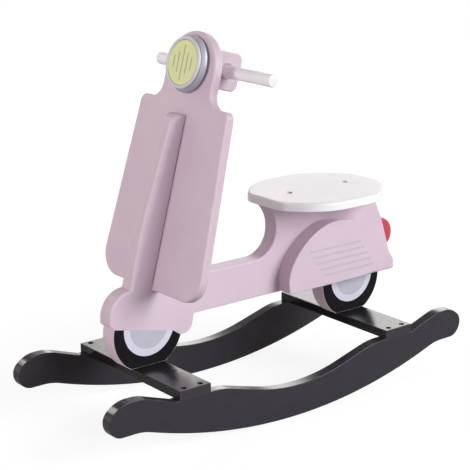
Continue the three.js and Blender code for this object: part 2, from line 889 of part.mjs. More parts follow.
function dowelShape(radius, length, edge) {
  const half = length / 2;
  const profile = [
    [0, -half],
    [radius - edge, -half],
    [radius, edge - half],
    [radius, half - edge],
    [radius - edge, half],
    [0, half],
  ];
  const lying = turned(profile).rotateX(-Math.PI / 2);
  return lying.translate(shield.thickness + dowel.setback, 0, lampCentre);
}

function addHandlebar() {
  const back = shield.thickness + gap;
  const bottom = lampCentre - block.height / 2;
  const top = lampCentre + block.height / 2;
  const outline = roundedOutline([
    [back, bottom, block.radius],
    [back + block.depth, bottom, block.radius],
    [back + block.depth, top, block.radius],
    [back, top, block.radius],
  ]);
  const bore = dowelShape(dowel.radius + gap, block.width + 2 * overrun, 0);
  const cutters = [bore, ...holes(blockScrews, blockScrew)];
  const bored = cut(sidePlate(outline, block.width, block.edge), cutters);
  const bar = dowelShape(dowel.radius, dowel.length, dowel.edge);
  addPiece("handlebar_block", bored, finishes.pinkPaint, leaning);
  addPiece("handlebar_dowel", bar, finishes.dowelPaint, leaning);
}

// Seat

function seatOutline() {
  const half = seat.lengthShares.map((share, index) => [
    seatFront + share * seat.length,
    seat.widthShares[index] * seat.halfWidth,
    seat.radii[index],
  ]);
  const other = half.map(([x, y, radius]) => [x, -y, radius]).reverse();
  return roundedOutline([...half, ...other]);
}

function addSeat() {
  const plain = levelPlate(seatOutline(), seat.thickness, seat.edge);
  const raised = plain.translate(0, 0, seatBottom + seat.thickness / 2);
  addPiece("seat_board", cut(raised, holes(seatScrews, seatScrew)), finishes.seatPaint);
}

// Tail light

function addTailLight() {
  const [, , waist, rump] = tailVertices(floorBottom).map(([x, z]) => new THREE.Vector2(x, z));
  const along = rump.clone().sub(waist).normalize();
  const outward = new THREE.Vector2(along.y, -along.x);
  const onEdge = waist.clone().addScaledVector(along, light.waistRise);
  const centre = onEdge.addScaledVector(outward, light.centreBehind);
  const outline = arcPoints(centre.toArray(), light.radius, 0, 2 * Math.PI);
  const disc = sidePlate(roundedOutline(outline), board.thickness, light.edge);
  const tailSide = sidePlate(roundedOutline(boardVertices()), board.thickness + 2 * overrun);
  tailSide.translate(gap * outward.x, 0, gap * outward.y);
  addPiece("tail_light", cut(disc, [tailSide]), finishes.redPaint);
}

addRunners();
addCrossBoards();
addProfileBoard();
addCowls();
addStripes();
addWheelPrints("front", frontX, frontPrintField());
addWheelPrints("rear", rearX, rearPrintField());
addShield();
addLamp();
addHandlebar();
addSeat();
addTailLight();
addScrews(deckScrews, deckScrew);
addScrews(standScrews, standScrew);
addScrews(seatScrews, seatScrew);
addScrews(shieldScrews, shieldScrew, leaning);
addScrews(blockScrews, blockScrew, leaning);

export default scooter;
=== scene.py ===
import bmesh
import bpy
import math
from mathutils import Matrix, Vector
from mathutils.geometry import interpolate_bezier


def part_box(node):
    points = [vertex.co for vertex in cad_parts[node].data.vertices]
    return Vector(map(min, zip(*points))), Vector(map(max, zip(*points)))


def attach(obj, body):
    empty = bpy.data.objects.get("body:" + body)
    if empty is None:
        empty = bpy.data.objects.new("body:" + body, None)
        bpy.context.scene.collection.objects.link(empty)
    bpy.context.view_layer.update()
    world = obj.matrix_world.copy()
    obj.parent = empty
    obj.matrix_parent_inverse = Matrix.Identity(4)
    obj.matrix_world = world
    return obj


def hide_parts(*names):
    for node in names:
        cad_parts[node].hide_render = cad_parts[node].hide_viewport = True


# A child's rocking scooter in painted plywood, in metres.
# +X points to the rear, +Z up, and the left side is at -Y, nearest the camera.

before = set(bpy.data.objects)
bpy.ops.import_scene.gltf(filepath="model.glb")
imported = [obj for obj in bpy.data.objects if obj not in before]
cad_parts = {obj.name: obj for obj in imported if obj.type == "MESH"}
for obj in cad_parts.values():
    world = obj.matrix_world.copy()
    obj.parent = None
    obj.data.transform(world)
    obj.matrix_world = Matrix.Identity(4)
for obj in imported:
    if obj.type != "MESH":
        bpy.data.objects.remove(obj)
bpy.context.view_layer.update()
mm = 0.001
print("frame loaded:", len(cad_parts), "pieces")

# Levels and stations, read from the frame

lowSeat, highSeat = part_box("seat_board")
lowDeck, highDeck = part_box("cross_board_front")
lowRearDeck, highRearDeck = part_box("cross_board_rear")
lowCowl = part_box("cowl_left")[0]
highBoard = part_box("profile_board")[1]
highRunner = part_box("runner_left")[1]

frontX = (lowDeck.x + highDeck.x) / 2
rearX = (lowRearDeck.x + highRearDeck.x) / 2
landHeight = lowDeck.z
deckTop = highDeck.z
seatBottom = lowSeat.z
seatTop = highSeat.z
boardFace = highBoard.y
cowlFace = -lowCowl.y
cowlBottom = lowCowl.z
gap = 0.3 * mm  # left between pieces that are cut to each other
touch = 0.02 * mm  # nearer than this, a point lies on a face


# Materials

mixFactor, mixA, mixB, mixResult = 0, 6, 7, 2  # the colour sockets of a Mix node
shieldLean = math.radians(14.45)
patterns = {  # size of the grains or patches
    "ply": 1.6 * mm,  # one veneer
    "peel": 2.4 * mm,  # the rolled paint's orange peel, drawn coarser than the real 1 mm to show
    "flake": 0.6 * mm,  # the lamp's metal flakes, drawn far coarser than real ones to show
    "brush": 5 * mm,
    "scuff": 9 * mm,
    "mottle": 14 * mm,  # uneven ink
    "rub": 18 * mm,
    "dust": 25 * mm,
    "cloud": 60 * mm,  # uneven coats from the roller
}


def linear(hexColour):
    channels = [int(hexColour[start:start + 2], 16) / 255 for start in (1, 3, 5)]
    curved = [c / 12.92 if c <= 0.04045 else ((c + 0.055) / 1.055) ** 2.4 for c in channels]
    return (*curved, 1)


# Adds a node to a material or the world, with its settings and links: a value that is a socket
# is linked, and so is the first output of a value that is a node. Inputs go by name or number,
# and a MapRange's are the value, from low, from high, to low and to high.
def addNode(owner, kind, settings=None):
    node = owner.node_tree.nodes.new(f"ShaderNode{kind}")
    for name, value in (settings or {}).items():
        source = value.outputs[0] if isinstance(value, bpy.types.Node) else value
        if isinstance(source, bpy.types.NodeSocket):
            owner.node_tree.links.new(source, node.inputs[name])
        elif isinstance(name, str) and hasattr(node, name):
            setattr(node, name, value)
        else:
            node.inputs[name].default_value = value
    return node


def newMaterial(name):
    material = bpy.data.materials.new(name)
    material.use_nodes = True
    material.node_tree.nodes.clear()
    return material


def finishMaterial(material, settings, colour, roughness, relief):
    bump = addNode(material, "Bump", relief)
    surface = addNode(material, "BsdfPrincipled", {
        **settings, "Base Color": colour.outputs[mixResult], "Roughness": roughness, "Normal": bump,
    })
    addNode(material, "OutputMaterial", {"Surface": surface})
    return material


# Plywood boards: across is the way through the plies, in object space, so the pattern's
# streaks run along the board on its cut sides, and the faces keep the roller's fine peel.
def paintedPly(name, look, turn=(0, 0, 0), across="Y"):
    material = newMaterial(name)
    coordinates = addNode(material, "TexCoord")
    place = coordinates.outputs["Object"]
    lying = addNode(material, "Mapping", {"Vector": place, "Rotation": turn})
    facing = addNode(material, "Mapping", {"Vector": coordinates.outputs["Normal"], "Rotation": turn})
    facingParts = addNode(material, "SeparateXYZ", {0: facing})
    flat = addNode(material, "Math", {"operation": "ABSOLUTE", 0: facingParts.outputs[across]})

    # rounded rims: neither face nor cut side, where the paint lies thinner and a lighter tone is painted on
    # as a highlight
    rim = addNode(material, "ValToRGB", {"Fac": flat})
    for element, position in zip(rim.color_ramp.elements, (0.08, 0.97)):
        element.position, element.color = position, (0, 0, 0, 1)
    rim.color_ramp.elements.new(0.55).color = (1, 1, 1, 1)

    # cut sides: only there do the ply edges print through
    side = addNode(material, "MapRange", {0: flat, 1: 0.5, 2: 0.1})
    stretch = [1 if axis == across else 0.03 for axis in "XYZ"]
    plies = addNode(material, "Mapping", {"Vector": lying, "Scale": stretch})
    streaks = addNode(material, "TexNoise", {
        "Vector": plies, "Scale": 1 / patterns["ply"], "Detail": 3, "Roughness": 0.6,
    })
    streakOnSide = addNode(material, "Math", {"operation": "MULTIPLY", 0: streaks, 1: side})

    clouds = addNode(material, "TexNoise", {
        "Vector": place, "Scale": 1 / patterns["cloud"], "Detail": 4, "Roughness": 0.55,
    })
    peel = addNode(material, "TexNoise", {"Vector": place, "Scale": 1 / patterns["peel"], "Detail": 2})
    scuffs = addNode(material, "TexNoise", {
        "Vector": place, "Scale": 1 / patterns["scuff"], "Detail": 5, "Roughness": 0.7,
    })

    cloudAmount = addNode(material, "MapRange", {0: clouds, 1: 0.3, 2: 0.7})
    base = addNode(material, "Mix", {
        "data_type": "RGBA", mixFactor: cloudAmount,
        mixA: linear(look["shade"]), mixB: linear(look["colour"]),
    })
    sideTinted = addNode(material, "Mix", {  # cut sides take sideColour: the end grain's tone, with painted shade in the red and leaning looks and painted light in the white
        "data_type": "RGBA", mixFactor: side,
        mixA: base.outputs[mixResult], mixB: linear(look["sideColour"]),
    })
    plyAmount = addNode(material, "MapRange", {0: streakOnSide, 1: 0.45, 2: 0.75, 4: look["plyShow"]})
    withPlies = addNode(material, "Mix", {
        "data_type": "RGBA", mixFactor: plyAmount,
        mixA: sideTinted.outputs[mixResult], mixB: linear(look["plyColour"]),
    })
    scuffAmount = addNode(material, "MapRange", {0: scuffs, 1: 0.5, 2: 0.72, 4: look["wear"]})
    # the rim tone where the scuffs show: wear, and a painted highlight along the rounded edges
    rimWearAndHighlight = addNode(material, "Math", {"operation": "MULTIPLY", 0: scuffAmount, 1: rim})
    colour = addNode(material, "Mix", {
        "data_type": "RGBA", mixFactor: rimWearAndHighlight,
        mixA: withPlies.outputs[mixResult], mixB: linear(look["rimWearAndHighlightColour"]),
    })
    roughness = addNode(material, "MapRange", {
        0: scuffs, 1: 0.3, 2: 0.7, 3: look["roughness"] - 0.05, 4: look["roughness"] + 0.05,
    })
    relief = addNode(material, "Math", {
        "operation": "MULTIPLY_ADD", 0: streakOnSide, 1: look["plyRelief"], 2: peel,
    })
    return finishMaterial(
        material, {"IOR": 1.5}, colour, roughness,
        {"Height": relief, "Strength": 0.5, "Distance": look["peelHeight"]},
    )


# Water-based satin enamel, rolled on: soft broad highlights, and on the rims a lighter, warmer tone, partly
# thin paint and partly a painted highlight
pinkLook = {
    "colour": "#DAC6D4", "shade": "#D7C1D0",
    "plyColour": "#C8ABB8", "sideColour": "#DAC4D1", "rimWearAndHighlightColour": "#E3D3D6",
    "roughness": 0.42, "plyShow": 0.5, "wear": 0.5, "plyRelief": 4, "peelHeight": 0.05 * mm,
}
# The white's cut sides are painted a little lighter than its face: painted light on the seat's and the
# dowel's sides
whiteLook = {
    "colour": "#F7F3F5", "shade": "#F4F0F2",
    "plyColour": "#E0DBE5", "sideColour": "#FBF9FD", "rimWearAndHighlightColour": "#F9F6F7",
    "roughness": 0.4, "plyShow": 0.28, "wear": 0.5, "plyRelief": 5, "peelHeight": 0.05 * mm,
}
# The red's cut side is painted far darker than its face: painted shade on the tail light's rim, which turns
# away from the light
redLook = {
    "colour": "#C84656", "shade": "#BE3E4E",
    "plyColour": "#96303C", "sideColour": "#A02E3A", "rimWearAndHighlightColour": "#CE4C5A",
    "roughness": 0.35, "plyShow": 0.5, "wear": 0.5, "plyRelief": 4, "peelHeight": 0.05 * mm,
}
pinkEnamel = paintedPly("satinEnamelPink", pinkLook)
# A darker copy of the pink for the handlebar block: painted shade, as the block sits in the shade of the
# shield's head
shadedPinkEnamel = paintedPly(
    "satinEnamelPinkPaintedShade", dict(pinkLook, colour="#D2BFCA", shade="#CDB9C4", sideColour="#D6C4CC"),
)
# Its cut sides are painted darker than the face: painted shade that holds down the key light on the shield's
# edges
leaningPinkEnamel = paintedPly(
    "satinEnamelPinkLeaning", dict(pinkLook, sideColour="#D0BCC8"), (0, -shieldLean, 0), "X",
)
whiteEnamel = paintedPly("satinEnamelWhite", whiteLook, across="Z")
offWhiteEnamel = paintedPly(
    "satinEnamelOffWhite", dict(whiteLook, colour="#F7F3F7", shade="#F2EEF2", plyShow=0.15),
)
redEnamel = paintedPly("satinEnamelRed", redLook)


# Black lacquer, sprayed thin over open-grained ply: a mirror at low angles, broken by the pores
def grainLacquer(name, look, stretch):
    material = newMaterial(name)
    coordinates = addNode(material, "TexCoord")
    place = coordinates.outputs["Object"]
    along = addNode(material, "Mapping", {"Vector": place, "Scale": stretch})
    grain = addNode(material, "TexNoise", {
        "Vector": along, "Scale": 1 / look["grainWidth"], "Detail": 5, "Roughness": 0.65,
        "Distortion": 0.3,
    })
    dust = addNode(material, "TexNoise", {
        "Vector": place, "Scale": 1 / patterns["dust"], "Detail": 6, "Roughness": 0.65,
    })
    grainAmount = addNode(material, "MapRange", {0: grain, 1: 0.35, 2: 0.7})
    base = addNode(material, "Mix", {
        "data_type": "RGBA", mixFactor: grainAmount,
        mixA: linear(look["pore"]), mixB: linear(look["colour"]),
    })
    facing = addNode(material, "SeparateXYZ", {0: coordinates.outputs["Normal"]})
    across = addNode(material, "Math", {"operation": "ABSOLUTE", 0: facing.outputs["Y"]})
    end = addNode(material, "MapRange", {0: across, 1: 0.5, 2: 0.9, 4: look["endShow"]})
    withEnds = addNode(material, "Mix", {  # faces across Y take endColour: the cross-boards' ends, lifted to the runners' tone, and the runners' broad faces
        "data_type": "RGBA", mixFactor: end,
        mixA: base.outputs[mixResult], mixB: linear(look["endColour"]),
    })
    rubbed = addNode(material, "MapRange", {0: dust, 1: 0.55, 2: 0.8, 4: look["rubbed"]})
    colour = addNode(material, "Mix", {
        "data_type": "RGBA", mixFactor: rubbed,
        mixA: withEnds.outputs[mixResult], mixB: linear(look["rubbedColour"]),
    })
    roughness = addNode(material, "MapRange", {
        0: grain, 1: 0.3, 2: 0.7, 3: look["roughness"] + 0.05, 4: look["roughness"] - 0.05,
    })
    return finishMaterial(
        material, {"IOR": 1.5}, colour, roughness,
        {"Height": grain, "Strength": 0.4, "Distance": look["grainDepth"]},
    )


blackLook = {
    "colour": "#322D36", "pore": "#2B272F",
    "endColour": "#302C34", "endShow": 0.3, "rubbedColour": "#413C45", "rubbed": 0.25,
    "roughness": 0.18, "grainWidth": 2.2 * mm, "grainDepth": 0.03 * mm,
}
# The cross-boards' tops are painted darker than the runners: painted shade for the dark reflections on them;
# their ends keep the runners' tone
deckLookWithPaintedShade = dict(
    blackLook, colour="#252026", pore="#0F0D10", endColour="#343038", endShow=0.95,
    roughness=0.2, grainWidth=3.2 * mm, grainDepth=0.3 * mm,
)
runnerLacquer = grainLacquer("blackLacquerAlongRunner", blackLook, (0.03, 1, 1))
deckLacquer = grainLacquer("blackLacquerAcrossDeck", deckLookWithPaintedShade, (1, 0.03, 1))


# Screen-printed ink: dead flat edges, a little duller than the enamel, with fine pinholes
def printedInk(name, hexColour, faded, roughness, specular=0.5):
    material = newMaterial(name)
    place = addNode(material, "TexCoord").outputs["Object"]
    mottle = addNode(material, "TexNoise", {
        "Vector": place, "Scale": 1 / patterns["mottle"], "Detail": 6, "Roughness": 0.6,
    })
    pinholes = addNode(material, "TexNoise", {"Vector": place, "Scale": 1 / patterns["peel"], "Detail": 1})
    mottleAmount = addNode(material, "MapRange", {0: mottle, 1: 0.35, 2: 0.7})
    colour = addNode(material, "Mix", {
        "data_type": "RGBA", mixFactor: mottleAmount, mixA: linear(hexColour), mixB: linear(faded),
    })
    gloss = addNode(material, "MapRange", {0: mottle, 3: roughness - 0.06, 4: roughness + 0.06})
    return finishMaterial(
        material, {"IOR": 1.48, "Specular IOR Level": specular}, colour, gloss,
        {"Height": pinholes, "Strength": 0.3, "Distance": 0.03 * mm},
    )


tyreInk = printedInk("screenInkBlack", "#131014", "#18151A", 0.55, specular=0.1)  # carbon black, very matt
rimInk = printedInk("screenInkPaleLilac", "#DBD9E6", "#D5D3E1", 0.45)
hubInk = printedInk("screenInkGrey", "#C0C0CC", "#BABAC6", 0.45)
stripeInk = printedInk("screenInkMauveGrey", "#CCBECC", "#C6B7C6", 0.5)


# Aluminium-flake paint on the lamp, and black zinc plate on the screws: a soft sheen, no mirror
def flakePaint(name, hexColour, rubbed, metallic, roughness):
    material = newMaterial(name)
    place = addNode(material, "TexCoord").outputs["Object"]
    flakes = addNode(material, "TexNoise", {"Vector": place, "Scale": 1 / patterns["flake"], "Detail": 2})
    wear = addNode(material, "TexNoise", {"Vector": place, "Scale": 1 / patterns["rub"], "Detail": 5})
    tone = addNode(material, "Mix", {
        "data_type": "RGBA", mixFactor: wear, mixA: linear(hexColour), mixB: linear(rubbed),
    })
    gloss = addNode(material, "MapRange", {0: wear, 3: roughness - 0.08, 4: roughness + 0.08})
    return finishMaterial(
        material, {"Metallic": metallic}, tone, gloss,
        {"Height": flakes, "Strength": 0.25, "Distance": 0.04 * mm},
    )


silverPaint = flakePaint("aluminiumFlakePaint", "#AEAEB9", "#BEBEC8", 0.4, 0.5)
# The lamp's rim ring: a paler, less metallic copy of the silver, a painted highlight for the bright
# reflection on the ring
silverWithPaintedHighlight = flakePaint("aluminiumFlakePaintPaintedHighlight", "#CACAD1", "#D6D6DB", 0.25, 0.5)
zincPlate = flakePaint("blackZincPlate", "#353234", "#4A4648", 0.9, 0.45)


# Brushed gloss enamel, grey-olive and darker in its grooves; frontAt is the face's place
# along the leaning X axis, from the world's origin.
def groovedEnamel(name, look, frontAt):
    material = newMaterial(name)
    place = addNode(material, "TexCoord").outputs["Object"]
    lying = addNode(material, "Mapping", {"Vector": place, "Rotation": (0, -shieldLean, 0)})
    parts = addNode(material, "SeparateXYZ", {0: lying})
    depth = addNode(material, "MapRange", {
        0: parts.outputs["X"], 1: frontAt + 0.1 * mm, 2: frontAt + 0.4 * mm,
    })
    brush = addNode(material, "TexNoise", {"Vector": place, "Scale": 1 / patterns["brush"], "Detail": 4})
    face = addNode(material, "Mix", {
        "data_type": "RGBA", mixFactor: brush,
        mixA: linear(look["colour"]), mixB: linear(look["brushed"]),
    })
    colour = addNode(material, "Mix", {
        "data_type": "RGBA", mixFactor: depth,
        mixA: face.outputs[mixResult], mixB: linear(look["groove"]),
    })
    gloss = addNode(material, "MapRange", {0: brush, 3: 0.28, 4: 0.42})
    return finishMaterial(
        material, {"IOR": 1.5}, colour, gloss,
        {"Height": brush, "Strength": 0.4, "Distance": 0.05 * mm},
    )


# Shared shapes

facet = math.radians(4)  # turned by one facet of a round stretch
facetLength = 6 * mm
sharpEdge = math.radians(38)  # facets that meet at a wider angle stay crisp
rimSpacing = 4 * mm  # between points on a straight side, where the rim radius varies along it


# An outline in the XZ plane runs counter-clockwise through corners (x, z, radius)
# and arcs (x, z, radius, start, end).
def pointOf(item, last=False):
    if len(item) == 3:
        return Vector((item[0], 0, item[1]))
    x, z, radius, start, end = item
    angle = end if last else start
    return Vector((x + radius * math.cos(angle), 0, z + radius * math.sin(angle)))


# Start, centre and turn of each item's round stretch; a corner's radius is limited by the
# sides beside it.
def roundStretches(items):
    count = len(items)
    before = [pointOf(items[index - 1], True) - pointOf(item) for index, item in enumerate(items)]
    after = [pointOf(items[(index + 1) % count]) - pointOf(item, True) for index, item in enumerate(items)]
    turns = [
        math.pi - back.angle(on) if len(item) == 3 else 0
        for item, back, on in zip(items, before, after)
    ]
    tangents = [item[2] * math.tan(turn / 2) for item, turn in zip(items, turns)]
    stretches = []
    for index, item in enumerate(items):
        point, back, on, tangent = pointOf(item), before[index], after[index], tangents[index]
        if len(item) == 5:
            stretches.append((point, Vector((item[0], 0, item[1])), item[4] - item[3]))
            continue
        if tangent < 0.01 * mm:
            stretches.append((point, point, 0))
            continue
        room = min(
            1,
            back.length / (tangents[index - 1] + tangent),
            on.length / (tangents[(index + 1) % count] + tangent),
        )
        tangent *= room
        sign = 1 if back.cross(on).y > 0 else -1
        start = point + back.normalized() * tangent
        inward = Matrix.Rotation(sign * math.pi / 2, 3, "Y") @ back.normalized()
        centre = start + inward * (tangent / math.tan(turns[index] / 2))
        stretches.append((start, centre, sign * turns[index]))
    return stretches


def vertsOf(parts):
    return [part for part in parts if isinstance(part, bmesh.types.BMVert)]


# One flat face inside an outline: straight sides, and each round stretch spun about its centre.
def outlineFace(items, sideLength=None):
    mesh = bmesh.new()
    chain = []
    for start, centre, turn in roundStretches(items):
        first = last = mesh.verts.new(start)
        if turn:
            length = (start - centre).length * abs(turn)
            steps = max(2, math.ceil(abs(turn) / facet), math.ceil(length / facetLength))
            spun = bmesh.ops.spin(
                mesh, geom=[first], cent=centre, axis=(0, -1, 0), angle=turn, steps=steps,
            )
            last = vertsOf(spun["geom_last"])[0]
        chain.append((first, last))
    straight = [mesh.edges.new((chain[index - 1][1], first)) for index, (first, _) in enumerate(chain)]
    for edge in straight if sideLength else []:
        cuts = int(edge.calc_length() / sideLength)
        if cuts:
            bmesh.ops.subdivide_edges(mesh, edges=[edge], cuts=cuts)
    bmesh.ops.remove_doubles(mesh, verts=mesh.verts, dist=0.002 * mm)
    bmesh.ops.contextual_create(mesh, geom=mesh.edges[:])
    return mesh


def grow(mesh, thickness):
    grown = bmesh.ops.extrude_face_region(mesh, geom=mesh.faces[:])
    bmesh.ops.translate(mesh, verts=vertsOf(grown["geom"]), vec=(0, thickness, 0))
    bmesh.ops.recalc_face_normals(mesh, faces=mesh.faces)


# A plain board in the XZ plane, centred on y = 0.
def makeSlab(items, thickness, sideLength=None):
    mesh = outlineFace(items, sideLength)
    bmesh.ops.translate(mesh, verts=mesh.verts, vec=(0, -thickness / 2, 0))
    grow(mesh, thickness)
    return mesh


def newObject(name, data):
    made = bpy.data.objects.new(name, data)
    bpy.context.scene.collection.objects.link(made)
    return made


def newPiece(name, mesh):
    data = bpy.data.meshes.new(name)
    mesh.to_mesh(data)
    mesh.free()
    return newObject(name, data)


# Applies a piece's modifiers.
def settle(piece):
    graph = bpy.context.evaluated_depsgraph_get()
    finished = bpy.data.meshes.new_from_object(piece.evaluated_get(graph))
    piece.modifiers.clear()
    rough = piece.data
    piece.data = finished
    bpy.data.meshes.remove(rough)


# Rounds one rim of a board: its face is drawn in step by step, each corner by its own radius.
def roundRim(mesh, face, rimRadius, steps):
    outward = face.normal.copy()
    corners = [vert.co.copy() for vert in face.verts]
    following = corners[1:] + corners[:1]
    across = [outward.cross(after - corner).normalized() for corner, after in zip(corners, following)]
    preceding = across[-1:] + across[:-1]
    inward = [(before + after) / (1 + before.dot(after)) for before, after in zip(preceding, across)]
    radii = [rimRadius(corner) if callable(rimRadius) else rimRadius for corner in corners]
    for step in range(steps + 1):
        if step:
            face = bmesh.ops.extrude_discrete_faces(mesh, faces=[face])["faces"][0]
        turn = math.pi / 2 * step / steps
        for vert, corner, draw, radius in zip(face.verts, corners, inward, radii):
            sunk = outward * radius * (1 - math.sin(turn))
            vert.co = corner + draw * radius * (1 - math.cos(turn)) - sunk


# A slab with rounded rims. The rim radius is one number, or a function of a point on the rim.
def makeBoard(name, items, thickness, rimRadius, steps=5):
    mesh = makeSlab(items, thickness, rimSpacing if callable(rimRadius) else None)
    mesh.normal_update()
    for face in [face for face in mesh.faces if abs(face.normal.y) > 0.9]:
        roundRim(mesh, face, rimRadius, steps)
    bmesh.ops.remove_doubles(mesh, verts=mesh.verts, dist=0.002 * mm)
    bmesh.ops.recalc_face_normals(mesh, faces=mesh.faces)
    return newPiece(name, mesh)


def joined(pieces):
    mesh = bmesh.new()
    for piece in pieces:
        mesh.from_mesh(piece.data)
        bpy.data.objects.remove(piece)
    return newPiece("tools", mesh)


def combine(piece, tool, operation):
    change = piece.modifiers.new(operation, "BOOLEAN")
    change.operation = operation
    change.object = tool
    change.solver = "EXACT"
    settle(piece)
    bpy.data.objects.remove(tool)


# Turned about the Z axis from (radius, height) pairs that start and end on the axis.
def makeTurned(name, profile, steps=72):
    mesh = bmesh.new()
    verts = [mesh.verts.new((radius, 0, height)) for radius, height in profile]
    edges = [mesh.edges.new(pair) for pair in zip(verts, verts[1:])]
    bmesh.ops.spin(
        mesh, geom=verts + edges, cent=(0, 0, 0), axis=(0, 0, 1), angle=2 * math.pi, steps=steps,
        use_merge=True,
    )
    bmesh.ops.remove_doubles(mesh, verts=mesh.verts, dist=0.005 * mm)
    bmesh.ops.recalc_face_normals(mesh, faces=mesh.faces)
    return newPiece(name, mesh)


def dress(piece, material, slot, *nodes):
    piece.data.materials.clear()
    piece.data.materials.append(material)
    for polygon in piece.data.polygons:
        polygon.use_smooth = True
    piece.data.set_sharp_from_angle(angle=sharpEdge)
    shading = piece.modifiers.new("shading", "WEIGHTED_NORMAL")
    shading.keep_sharp = True
    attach(piece, "root")
    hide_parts(*nodes)


# Lays a board made in the XZ plane flat, with its middle at a height.
def layDown(piece, height):
    piece.data.transform(Matrix.Translation((0, 0, height)) @ sideways)
    return piece


sideways = Matrix.Rotation(-math.pi / 2, 4, "X")  # a slab lies flat, a turning's axis lies along Y
upright = Matrix.Rotation(math.pi / 2, 4, "Z")  # a slab stands across, in the YZ plane
sides = {"Left": -1, "Right": 1}
ends = {"Front": frontX, "Rear": rearX}


def mirrored(corners):
    return [(-x, z, radius) for x, z, radius in reversed(corners)]


def mix(low, high, share):
    return low + (high - low) * share


# The leaning frame: its Z axis runs up the leg shield and its X axis back through it
shield = {
    "thickness": 16 * mm,
    "footAhead": 24.6 * mm,
    "bottom": 127 * mm,
    "length": 408.6 * mm,
    "bottomHalfWidth": 129.4 * mm,
    "cornerRadius": 40 * mm,
    "shoulderHalfWidth": 109.1 * mm,
    "shoulderDrop": 51 * mm,
    "shoulderRadius": 12 * mm,
    "neckRadius": 24 * mm,
    "headRadius": 60.6 * mm,
    "ribTopDrop": 19 * mm,
    "lampRise": 8.2 * mm,
    "rimRadius": 3.5 * mm,
    "slotRimRadius": 0.8 * mm,  # where its lower edge stands in the spine's slot
}
leanTurn = Matrix.Rotation(shieldLean, 4, "Y")
leaning = Matrix.Translation((frontX - shield["footAhead"], 0, deckTop)) @ leanTurn
headCentre = shield["bottom"] + shield["length"] - shield["headRadius"]
shoulderTop = headCentre - shield["shoulderDrop"]
ribTop = shoulderTop - shield["ribTopDrop"]
lampCentre = headCentre + shield["lampRise"]


def leaningPoint(ahead, up):
    point = leaning @ Vector((-ahead, 0, up))
    return point.x, point.z


def leaningHeight(ahead, height):
    rise = height - deckTop - ahead * math.sin(shieldLean)
    return leaningPoint(ahead, rise / math.cos(shieldLean))


# A screw is a low dome with a cross recess, sunk in a round hole.
deckScrew = {
    "headRadius": 4 * mm, "headHeight": 4 * mm, "shankRadius": 2 * mm, "length": 45 * mm,
    "sink": 2.5 * mm,
}
seatScrew = dict(deckScrew, headRadius=5.8 * mm, shankRadius=2.5 * mm, sink=3 * mm)
standScrew = dict(deckScrew, headRadius=5 * mm, shankRadius=2.5 * mm, sink=1 * mm)
shieldScrew = dict(
    standScrew, headRadius=4.5 * mm, headHeight=3.5 * mm, shankRadius=2.2 * mm, length=32 * mm,
)
blockScrew = dict(shieldScrew, length=36 * mm, sink=0.5 * mm)


def screwTemplate(size):
    head, shank, top = size["headRadius"], size["shankRadius"], -size["sink"]
    dome = 0.35 * size["headHeight"]
    under = top - size["headHeight"]
    tip = top - size["length"]
    screw = makeTurned("screwTemplate", [
        (0, top), (0.5 * head, top - 0.12 * dome), (0.82 * head, top - 0.45 * dome), (head, top - dome),
        (head, under), (shank, under), (shank, tip + 3 * shank), (0.2 * shank, tip), (0, tip),
    ], steps=28)
    for turn in (0, math.pi / 2):
        mesh = bmesh.new()
        blade = bmesh.ops.create_cube(mesh, size=1)["verts"]
        bmesh.ops.scale(mesh, verts=blade, vec=(1.2 * head, 0.22 * head, size["headHeight"]))
        low = [vert for vert in blade if vert.co.z < 0]
        bmesh.ops.scale(mesh, verts=low, vec=(0.4, 0.7, 1))
        bmesh.ops.rotate(mesh, verts=blade, cent=(0, 0, 0), matrix=Matrix.Rotation(turn, 3, "Z"))
        bmesh.ops.translate(mesh, verts=blade, vec=(0, 0, top))
        combine(screw, newPiece("recess", mesh), "DIFFERENCE")
    return screw


def screwHole(size, place):
    reach = size["headRadius"] + gap
    under = -size["sink"] - size["headHeight"] - gap
    shank = size["shankRadius"] + gap
    tip = -size["sink"] - size["length"] - gap
    mouth = 0.8 * mm  # crushed and rounded by the countersink
    hole = makeTurned("hole", [
        (0, tip), (shank, tip), (shank, under), (reach, under), (reach, -mouth),
        (reach + 0.25 * mouth, -0.4 * mouth), (reach + mouth, 0.01 * mm), (reach + 2 * mouth, mouth),
        (0, mouth),
    ], steps=32)
    hole.data.transform(place)
    return hole


def onSurface(x, y, z, outward):
    return Matrix.Translation((x, y, z)) @ Vector(outward).to_track_quat("Z", "Y").to_matrix().to_4x4()


screwPlaces = {
    "deckInset": 14.2 * mm,
    "deckEndInset": 9 * mm,
    "standSpacing": 36 * mm,
    "seatStart": 56.3 * mm,
    "seatSpacing": 127 * mm,
    "shieldShares": [0.27, 0.6, 0.9],
    "blockSpacing": 40 * mm,
}
deckHalfWidth = (highDeck.x - lowDeck.x) / 2
deckHalfLength = (highDeck.y - lowDeck.y) / 2
deckScrews = {
    f"deck_screw_{end.lower()}_{hand.lower()}_{letter}": onSurface(
        x + edge * (deckHalfWidth - screwPlaces["deckInset"]),
        side * (deckHalfLength - screwPlaces["deckEndInset"]),
        deckTop, (0, 0, 1),
    )
    for end, x in ends.items() for hand, side in sides.items() for letter, edge in (("a", -1), ("b", 1))
}
standScrews = {
    f"stand_screw_{end.lower()}_{letter}": onSurface(
        x + edge * screwPlaces["standSpacing"] / 2, 0, landHeight, (0, 0, -1),
    )
    for end, x in ends.items() for letter, edge in (("a", -1), ("b", 1))
}
seatScrews = {
    f"seat_screw_{end}": onSurface(
        lowSeat.x + screwPlaces["seatStart"] + index * screwPlaces["seatSpacing"], 0, seatTop, (0, 0, 1),
    )
    for index, end in enumerate(("front", "rear"))
}
shieldScrews = {
    f"shield_screw_{index + 1}": leaning @ onSurface(
        shield["thickness"], 0, shield["bottom"] + share * (ribTop - shield["bottom"]), (1, 0, 0),
    )
    for index, share in enumerate(screwPlaces["shieldShares"])
}
